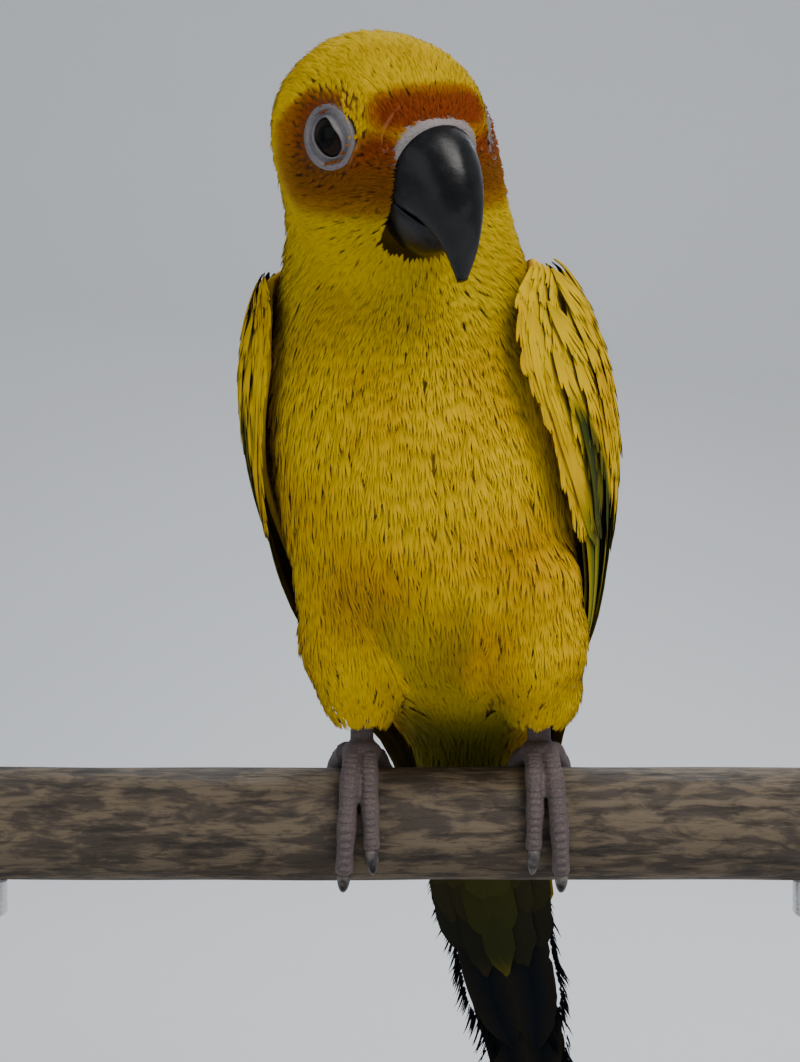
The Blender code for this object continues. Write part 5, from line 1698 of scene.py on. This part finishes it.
class EyesOperator(bpy.types.Operator):
    """Adds both eyes, each with its lids and ring of bare skin"""

    bl_idname = "conure.eyes"
    bl_label = "Eyes"

    def execute(self, context):
        colours = settings().bare
        made, tree, shader = new_material("eye_gloss")
        off = attribute(tree, "off_axis", "Fac")
        rays = noise(tree, object_place(tree), 2600.0, 2.0)
        iris = mixed(tree, rays, (*colours.iris, 1), (0.022, 0.010, 0.005, 1))
        iris = mixed(tree, ranged(tree, off, 0.62, 0.72), iris, (0.012, 0.010, 0.010, 1))
        feed(tree, shader, {
            "Base Color": mixed(tree, ranged(tree, off, 0.40, 0.44), (0.002, 0.002, 0.002, 1), iris),
            "Roughness": 0.20,
            "Specular IOR Level": 0.06,
            "Coat Weight": 0.06,
            "Coat Roughness": 0.02,
        })
        # colours.ring holds painted shade: a mid grey darker than the ring's own greyish-white skin.
        skin = bare_skin("eye_ring_skin", colours.ring, (0.10, 0.09, 0.10), 1500.0, 0.00005)
        for side, label in SIDES:
            place, out, across, up = eye_axes(side)
            rings = []
            for turn in np.linspace(0.04, math.pi - 0.04, 26):
                ring = []
                for around in np.linspace(0, math.tau, 40, endpoint=False):
                    flat = across * math.cos(around) + up * math.sin(around)
                    ring.append(place + EYE_RADIUS * (out * math.cos(turn) + flat * math.sin(turn)))
                rings.append(np.array(ring))
            ball = lofted_piece("eyeball_" + label, rings, made)
            ways = unit(vertex_values(ball.data, "co") - BIRD_PLACE - place)
            point_attribute(ball.data, "off_axis", "FLOAT", np.arccos(np.clip(ways @ out, -1, 1)))
            settled(ball, "eye", "eye_" + label)
            settled(lofted_piece("eye_ring_" + label, eye_ring_rings(side), skin, closed=True), "cere")
        return {"FINISHED"}


def toe_path(side, toe, stations):
    """Places along a toe wrapped round the perch, the way away from the perch, and the radius at each."""
    _, root_x, tip_x, start, end, root_radius, tip_radius = toe
    t = np.linspace(0, 1, stations)
    turn = np.radians(start + (end - start) * t)
    radius = root_radius + (tip_radius - root_radius) * t
    radius = radius * (1 + 0.05 * np.cos(t * 3 * math.tau))
    reach = PERCH_RADIUS + GAP + radius
    out = np.stack([0 * turn, -np.sin(turn), np.cos(turn)], axis=1)
    places = out * reach[:, None] + np.array([side * LEG_X, 0, -PERCH_RADIUS])
    places[:, 0] += side * (root_x + (tip_x - root_x) * t)
    return places, out, radius


def tube_rings(path, radii, sides, blunt=0.5):
    """Rings round a path, with a smaller ring past both ends."""
    path = np.asarray(path, float)
    ways = unit(np.gradient(path, axis=0))
    side = np.cross(ways[0], (0.0, 1.0, 0.0) if abs(ways[0][0]) > 0.9 else (1.0, 0.0, 0.0))
    angles = np.linspace(0, math.tau, sides, endpoint=False)
    rings = []
    for place, way, radius in zip(path, ways, radii):
        side = unit(side - way * (side @ way))
        up = np.cross(way, side)
        rings.append(place + radius * (np.outer(np.cos(angles), side) + np.outer(np.sin(angles), up)))
    first = path[0] - ways[0] * radii[0] * blunt + (rings[0] - path[0]) * 0.5
    last = path[-1] + ways[-1] * radii[-1] * blunt + (rings[-1] - path[-1]) * 0.5
    return [first] + rings + [last]


class FeetOperator(bpy.types.Operator):
    """Adds both feet with their plates of skin, and the claws"""

    bl_idname = "conure.feet"
    bl_label = "Feet and claws"

    def execute(self, context):
        colours = settings().bare
        skin = bare_skin("foot_skin", colours.foot, colours.foot_crease, 1300.0, 0.00012)
        claw_horn = horn("claw_horn", colours.claw, (0.20, 0.17, 0.15), 0.38, 1.6)
        for side, label in SIDES:
            x = side * LEG_X
            tarsus = [(x - side * 0.0004, 0.0010, 0.0105), (x, 0.0010, 0.0072), (x, 0.0008, 0.0050),
                      (x, 0.0004, 0.0030)]
            rings = [tube_rings(tarsus, [TARSUS_RADIUS] * 4, 20)]
            turns = np.linspace(0.05, math.pi - 0.05, 14)
            palm = np.array([x, 0.0, PALM_RADII[2] + GAP])
            around = np.linspace(0, math.tau, 20, endpoint=False)
            rings.append([palm + np.stack([np.cos(around) * math.sin(a), np.sin(around) * math.sin(a),
                                           0 * around + math.cos(a)], axis=1) * PALM_RADII for a in turns])
            places, rises, ways, sizes = [], [], [], []
            for toe in TOES:
                path, out, radii = toe_path(side, toe, 34)
                creased = radii * (1 + 0.035 * np.sin(np.linspace(0, 15 * math.tau, 34)))
                rings.append(tube_rings(path, creased, 18))
                path, out, radii = toe_path(side, toe, 19)
                way = unit(np.gradient(path, axis=0))
                chosen = slice(2, 18)
                places.append((path + out * radii[:, None] * 0.90)[chosen])
                rises.append(out[chosen])
                ways.append(way[chosen])
                sizes.append(radii[chosen] * 1.55)
            foot = fused_foot("foot_form_" + label, rings, skin)
            settled(foot, "foot_skin", "foot_" + label)
            guide = [np.concatenate(values) for values in (places, rises, ways, sizes)]
            scutes = set_on_guide("foot_scutes_" + label, scute_piece(), *guide, skin, SCUTE_SEED,
                                  uneven=0.08, turn=0.06)
            settled(scutes, "foot_skin")
            for toe in TOES:
                settled(claw_form(side, toe, label, claw_horn), "claw", f"claw_{toe[0]}_{label}")
        return {"FINISHED"}


def fused_foot(name, parts, finish):
    """One smooth skin over the closed tubes of leg, palm and toes."""
    pieces = [lofted_piece(name + "_part", rings, finish) for rings in parts]
    bm = bmesh.new()
    for piece in pieces:
        bm.from_mesh(piece.data)
        bpy.data.objects.remove(piece)
    made = linked(name, mesh_of(name, bm))
    remeshed(made, FOOT_STEP, FOOT_SMOOTHING)
    made.data.materials.clear()
    made.data.materials.append(finish)
    made.data.shade_smooth()
    return made


def claw_form(side, toe, label, finish):
    """A curved claw from the end of its toe, tapering to a point."""
    path, out, radii = toe_path(side, toe, 6)
    way = unit(path[-1] - path[-2])
    root = path[-1] + way * (radii[-1] * 0.5 - GAP) + out[-1] * 0.0003
    stations = 18
    bend = CLAW_CURL * np.linspace(0, 1, stations)
    places = [root]
    for angle in bend[:-1]:
        step = way * math.cos(angle) - out[-1] * math.sin(angle) * CLAW_HOOK
        places.append(places[-1] + step * CLAW_LENGTH / (stations - 1))
    radius = CLAW_RADIUS * (1.02 - np.linspace(0, 1, stations) ** 1.6)
    return lofted_piece(f"claw_form_{toe[0]}_{label}", tube_rings(places, radius, 14, 0.3), finish)


def wood(name, dark, middle, pale, stretch, depth, roughness):
    """Wood along X: broad figure, dark streaks and pale flecks, with grain as bump."""
    made, tree, shader = new_material(name)
    place = object_place(tree)
    figure, streaks, flecks = (
        noise(tree, stretched(tree, place, (stretch * long, stretch * short, stretch * short)), 1.0, *rest)
        for long, short, *rest in ((1.2, 4, 5.0, 0.65, 0.5), (1, 7, 5.0, 0.62, 0.2), (2.4, 9, 3.0, 0.5))
    )
    colour = mixed(tree, ranged(tree, figure, 0.42, 0.60), (*middle, 1), (*pale, 1))
    for value, low, high, strength in ((streaks, 0.50, 0.66, 0.75), (flecks, 0.60, 0.72, 0.5)):
        colour = mixed(tree, times(tree, ranged(tree, value, low, high), strength), colour, (*dark, 1))
    feed(tree, shader, {
        "Base Color": colour,
        "Roughness": ranged(tree, streaks, 0.3, 0.7, roughness, roughness + 0.15),
    })
    grain = maths(tree, "SUBTRACT", times(tree, figure, 0.4), add(tree, streaks, flecks))
    bumped(tree, shader, grain, depth, 0.8)
    return made


class PerchOperator(bpy.types.Operator):
    """Adds the cut length of weathered dowel"""

    bl_idname = "conure.perch"
    bl_label = "Perch"

    def execute(self, context):
        colours = settings().stand
        finish = wood("perch_wood", colours.perch_dark, colours.perch_middle, colours.perch_pale, 95.0,
                      0.0004, 0.62)
        waves = np.random.default_rng(PERCH_SEED).uniform(0, math.tau, 2)
        half = (PERCH_HIGH.x - PERCH_LOW.x) / 2
        turn = np.linspace(0, math.tau, PERCH_SIDES, endpoint=False)
        rings = []
        long = np.linspace(-half + PERCH_BEVEL, half - PERCH_BEVEL, 90)
        for x in np.concatenate([[-half, -half + 0.0003], long, [half - 0.0003, half]]):
            inset = 0.0007 * (1 - min(1.0, (half - abs(x)) / PERCH_BEVEL)) ** 2
            dents = 0.00007 * (np.sin(3 * turn + waves[0] + 60 * x) + np.sin(7 * turn + waves[1] - 140 * x))
            radius = PERCH_RADIUS - 0.00014 - inset + dents
            ring = np.stack([0 * turn + x, radius * np.cos(turn), radius * np.sin(turn)], axis=1)
            rings.append(ring - BIRD_PLACE + (0, 0, PERCH_MIDDLE))
        settled(lofted_piece("perch_form", rings, finish), "perch_wood", "perch")
        return {"FINISHED"}


class StandOperator(bpy.types.Operator):
    """Finishes the stand's base and adds its turned steel posts"""

    bl_idname = "conure.stand"
    bl_label = "Stand"

    def execute(self, context):
        colours = settings().stand
        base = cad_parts["stand_base"]
        base.data.materials.clear()
        base.data.materials.append(
            wood("base_wood", colours.base_dark, colours.base, colours.base_pale, 30.0, 0.00008, 0.34)
        )
        steel, tree, shader = new_material("brushed_steel")
        brushed = noise(tree, stretched(tree, object_place(tree), (500, 500, 6000)), 1.0, 3.0)
        feed(tree, shader, {
            "Metallic": 1.0,
            "Base Color": grey(tree, ranged(tree, brushed, 0.3, 0.7, 0.52, 0.66)),
            "Roughness": ranged(tree, brushed, 0.3, 0.7, 0.22, 0.36),
        })
        bumped(tree, shader, brushed, 0.00002, 0.5)
        for label in ("left", "right"):
            node = "stand_rod_" + label
            low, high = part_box(node)
            x, floor, top = (low.x + high.x) / 2, low.z, high.z
            plate = (high.x - low.x) / 2
            profile = (
                (plate - 0.0002, 0.0), (plate, 0.0003), (plate, 0.0019), (plate - 0.0007, 0.0025),
                (0.0036, 0.0026), (0.0030, 0.0034), (0.0030, top - floor - 0.0084),
                (0.0034, top - floor - 0.0076), (0.0046, top - floor - 0.0070),
                (0.0048, top - floor - 0.0066),
            )
            turn = np.linspace(0, math.tau, POST_SIDES, endpoint=False)
            circle = np.stack([np.cos(turn), np.sin(turn), 0 * turn], axis=1)
            rings = [circle * (radius, radius, 0) + (0, 0, z) for radius, z in profile]
            axis = PERCH_MIDDLE - floor
            for radius in (0.0048, 0.0040, 0.0028, 0.0014, 0.0004):
                ring = circle * (radius, radius, 0)
                ring[:, 2] = axis - np.sqrt((PERCH_RADIUS + GAP) ** 2 - ring[:, 1] ** 2)
                rings.append(ring)
            rings = [ring + (x, 0, floor) - BIRD_PLACE for ring in rings]
            post = lofted_piece(node + "_form", rings, steel)
            post.data.set_sharp_from_angle(angle=STEEL_SHARP)
            settled(post, "stand_steel", node)
        return {"FINISHED"}


class StageOperator(bpy.types.Operator):
    """Adds the pale sweep that the stand rests on, soft lights and the camera"""

    bl_idname = "conure.stage"
    bl_label = "Stage and camera"

    def execute(self, context):
        stage = settings().stage
        profile = [(SWEEP_FRONT, 0.0), (SWEEP_TURN, 0.0)]
        for step in range(1, SWEEP_STEPS + 1):
            turn = math.radians(90 * step / SWEEP_STEPS)
            rise = SWEEP_RADIUS - SWEEP_RADIUS * math.cos(turn)
            profile.append((SWEEP_TURN + SWEEP_RADIUS * math.sin(turn), rise))
        profile.append((SWEEP_TURN + SWEEP_RADIUS, SWEEP_TOP))
        bm = bmesh.new()
        rows = []
        for y, z in profile:
            rows.append([bm.verts.new((x, y, z)) for x in (-SWEEP_HALF_WIDTH, SWEEP_HALF_WIDTH)])
        for (a, b), (c, d) in zip(rows, rows[1:]):
            bm.faces.new((a, b, d, c))
        mesh = mesh_of("floor", bm)
        mesh.shade_smooth()
        finish, tree, shader = new_material("pale_floor")
        tinted = shaded(tree, (*stage.floor_colour, 1), mottled(tree, 3.0, 0.05))
        feed(tree, shader, {"Base Color": tinted, "Roughness": 0.9})
        mesh.materials.append(finish)
        floor = linked("floor", mesh)
        world = bpy.data.worlds.new("studio")
        context.scene.world = world
        world.use_nodes = True
        sky = {"Color": (0.86, 0.91, 1.0, 1), "Strength": stage.fill}
        feed(world.node_tree, world.node_tree.nodes["Background"], sky)
        target = Vector(LIGHT_TARGET)
        lights = (
            ("key", (0.42, -0.55, 0.85), 0.55, stage.key_power),
            ("fill", (-0.75, -0.60, 0.40), 0.70, stage.key_power * 0.18),
            ("rim", (0.10, 0.55, 0.75), 0.50, stage.key_power * 0.50),
        )
        for name, place, size, power in lights:
            light = bpy.data.lights.new(name, "AREA")
            light.size = size
            light.energy = power
            light.color = (1.0, 0.97, 0.93) if name == "key" else (0.92, 0.96, 1.0)
            lamp = linked(name, light)
            lamp.location = place
            lamp.rotation_euler = (Vector(place) - target).to_track_quat("Z", "Y").to_euler()
        camera = bpy.data.cameras.new("camera")
        camera.sensor_fit = "VERTICAL"
        camera.sensor_height = SENSOR_HEIGHT
        camera.lens = camera.sensor_height / 2 / math.tan(stage.view_angle / 2)
        camera.clip_start = 0.01
        eye = linked("camera", camera)
        eye.location = (0, -stage.distance, PERCH_HIGH.z + stage.height)
        eye.rotation_euler = (math.pi / 2, 0, 0)
        context.scene.camera = eye
        return {"FINISHED"}


def colour_property(name, description, default):
    return FloatVectorProperty(
        name=name, description=description, default=default, subtype="COLOR", size=3, min=0.0, max=1.0
    )


class PlumageSettings(bpy.types.PropertyGroup):
    """Colours and spacing of the feathers"""

    yellow: colour_property("Yellow", "Bright yellow of breast, neck and coverts", (0.80, 0.52, 0.0))
    gold: colour_property("Gold", "Deeper golden yellow that the yellow is mottled with", (0.60, 0.32, 0.0))
    orange: colour_property("Orange", "Orange of cheeks and belly", (0.37, 0.125, 0.003))
    red: colour_property("Red", "Rusty red round the eye and over the beak", (0.24, 0.044, 0.006))
    green: colour_property("Green", "Green of wing feathers and vent", (0.085, 0.15, 0.006))
    dark: colour_property("Dark", "Blue-black of flight and tail feathers", (0.006, 0.009, 0.013))
    spacing: FloatProperty(
        name="Spacing", description="Space between feathers as a share of their length", default=0.27,
        subtype="FACTOR",
    )


class BareSettings(bpy.types.PropertyGroup):
    """Colours of skin, horn and eyes"""

    beak: colour_property("Beak", "Charcoal horn of the beak", (0.0030, 0.0030, 0.0036))
    beak_bloom: colour_property("Beak bloom", "Greyer bloom on the beak", (0.012, 0.0125, 0.014))
    cere: colour_property("Cere", "Pinkish-white skin over the beak", (0.27, 0.235, 0.23))
    # Painted shade: the ring's greyish-white skin is given a darker mid grey, standing for the shade on the
    # side of the face.
    ring: colour_property("Eye ring", "Greyish-white skin round the eye", (0.185, 0.170, 0.175))
    iris: colour_property("Iris", "Dark brown of the iris", (0.005, 0.003, 0.002))
    foot: colour_property("Foot", "Greyish-pink skin of the feet", (0.125, 0.095, 0.092))
    foot_crease: colour_property("Foot creases", "Darker skin between the plates", (0.040, 0.028, 0.028))
    claw: colour_property("Claw", "Dark grey horn of the claws", (0.026, 0.024, 0.025))


class StandSettings(bpy.types.PropertyGroup):
    """Colours of perch and base"""

    perch_dark: colour_property("Perch streaks", "Dark streaks in the dowel", (0.014, 0.010, 0.007))
    perch_middle: colour_property("Perch", "Brown of the dowel", (0.045, 0.031, 0.020))
    perch_pale: colour_property("Perch pale", "Paler worn wood of the dowel", (0.135, 0.098, 0.058))
    base_dark: colour_property("Base streaks", "Dark grain in the base", (0.020, 0.011, 0.007))
    base: colour_property("Base", "Walnut brown of the base", (0.075, 0.040, 0.022))
    base_pale: colour_property("Base pale", "Paler grain in the base", (0.12, 0.066, 0.036))


class StageSettings(bpy.types.PropertyGroup):
    """Floor, lights and camera"""

    floor_colour: colour_property("Floor colour", "Colour of the pale sweep", (0.80, 0.82, 0.84))
    key_power: FloatProperty(
        name="Key power", description="Power of the main light", default=7.4, unit="POWER"
    )
    fill: FloatProperty(name="Fill", description="Strength of the even light all round", default=0.36)
    distance: FloatProperty(
        name="Distance", description="From the camera to the perch's axis", default=0.28, unit="LENGTH"
    )
    height: FloatProperty(
        name="Height", description="Camera height over the top of the perch", default=0.042, unit="LENGTH"
    )
    view_angle: FloatProperty(
        name="View angle", description="Angle of view from top to bottom", default=math.radians(37.3),
        subtype="ANGLE",
    )


class ConureSettings(bpy.types.PropertyGroup):
    """All settings of the model"""

    plumage: PointerProperty(type=PlumageSettings, name="Plumage", description="Feather settings")
    bare: PointerProperty(type=BareSettings, name="Bare parts", description="Skin, horn and eye settings")
    stand: PointerProperty(type=StandSettings, name="Stand", description="Perch and base settings")
    stage: PointerProperty(type=StageSettings, name="Stage", description="Stage settings")


OPERATORS = (
    SkinOperator, BodyPlumageOperator, WingsOperator, TailOperator, BeakOperator, EyesOperator, FeetOperator,
    PerchOperator, StandOperator, StageOperator,
)


class ConurePanel(bpy.types.Panel):
    """Lists the pieces in the order in which they are built"""

    bl_idname = "VIEW3D_PT_conure"
    bl_label = "Sun conure"
    bl_space_type = "VIEW_3D"
    bl_region_type = "UI"
    bl_category = "Conure"

    def draw(self, context):
        for operator in OPERATORS:
            self.layout.operator(operator.bl_idname)


CLASSES = (
    PlumageSettings, BareSettings, StandSettings, StageSettings, ConureSettings, *OPERATORS, ConurePanel,
)


def register():
    for cls in CLASSES:
        bpy.utils.register_class(cls)
    bpy.types.Scene.conure = PointerProperty(type=ConureSettings)


def unregister():
    del bpy.types.Scene.conure
    for cls in reversed(CLASSES):
        bpy.utils.unregister_class(cls)


def main():
    register()
    for operator in OPERATORS:
        family, name = operator.bl_idname.split(".")
        getattr(getattr(bpy.ops, family), name)()


if __name__ == "__main__":
    main()
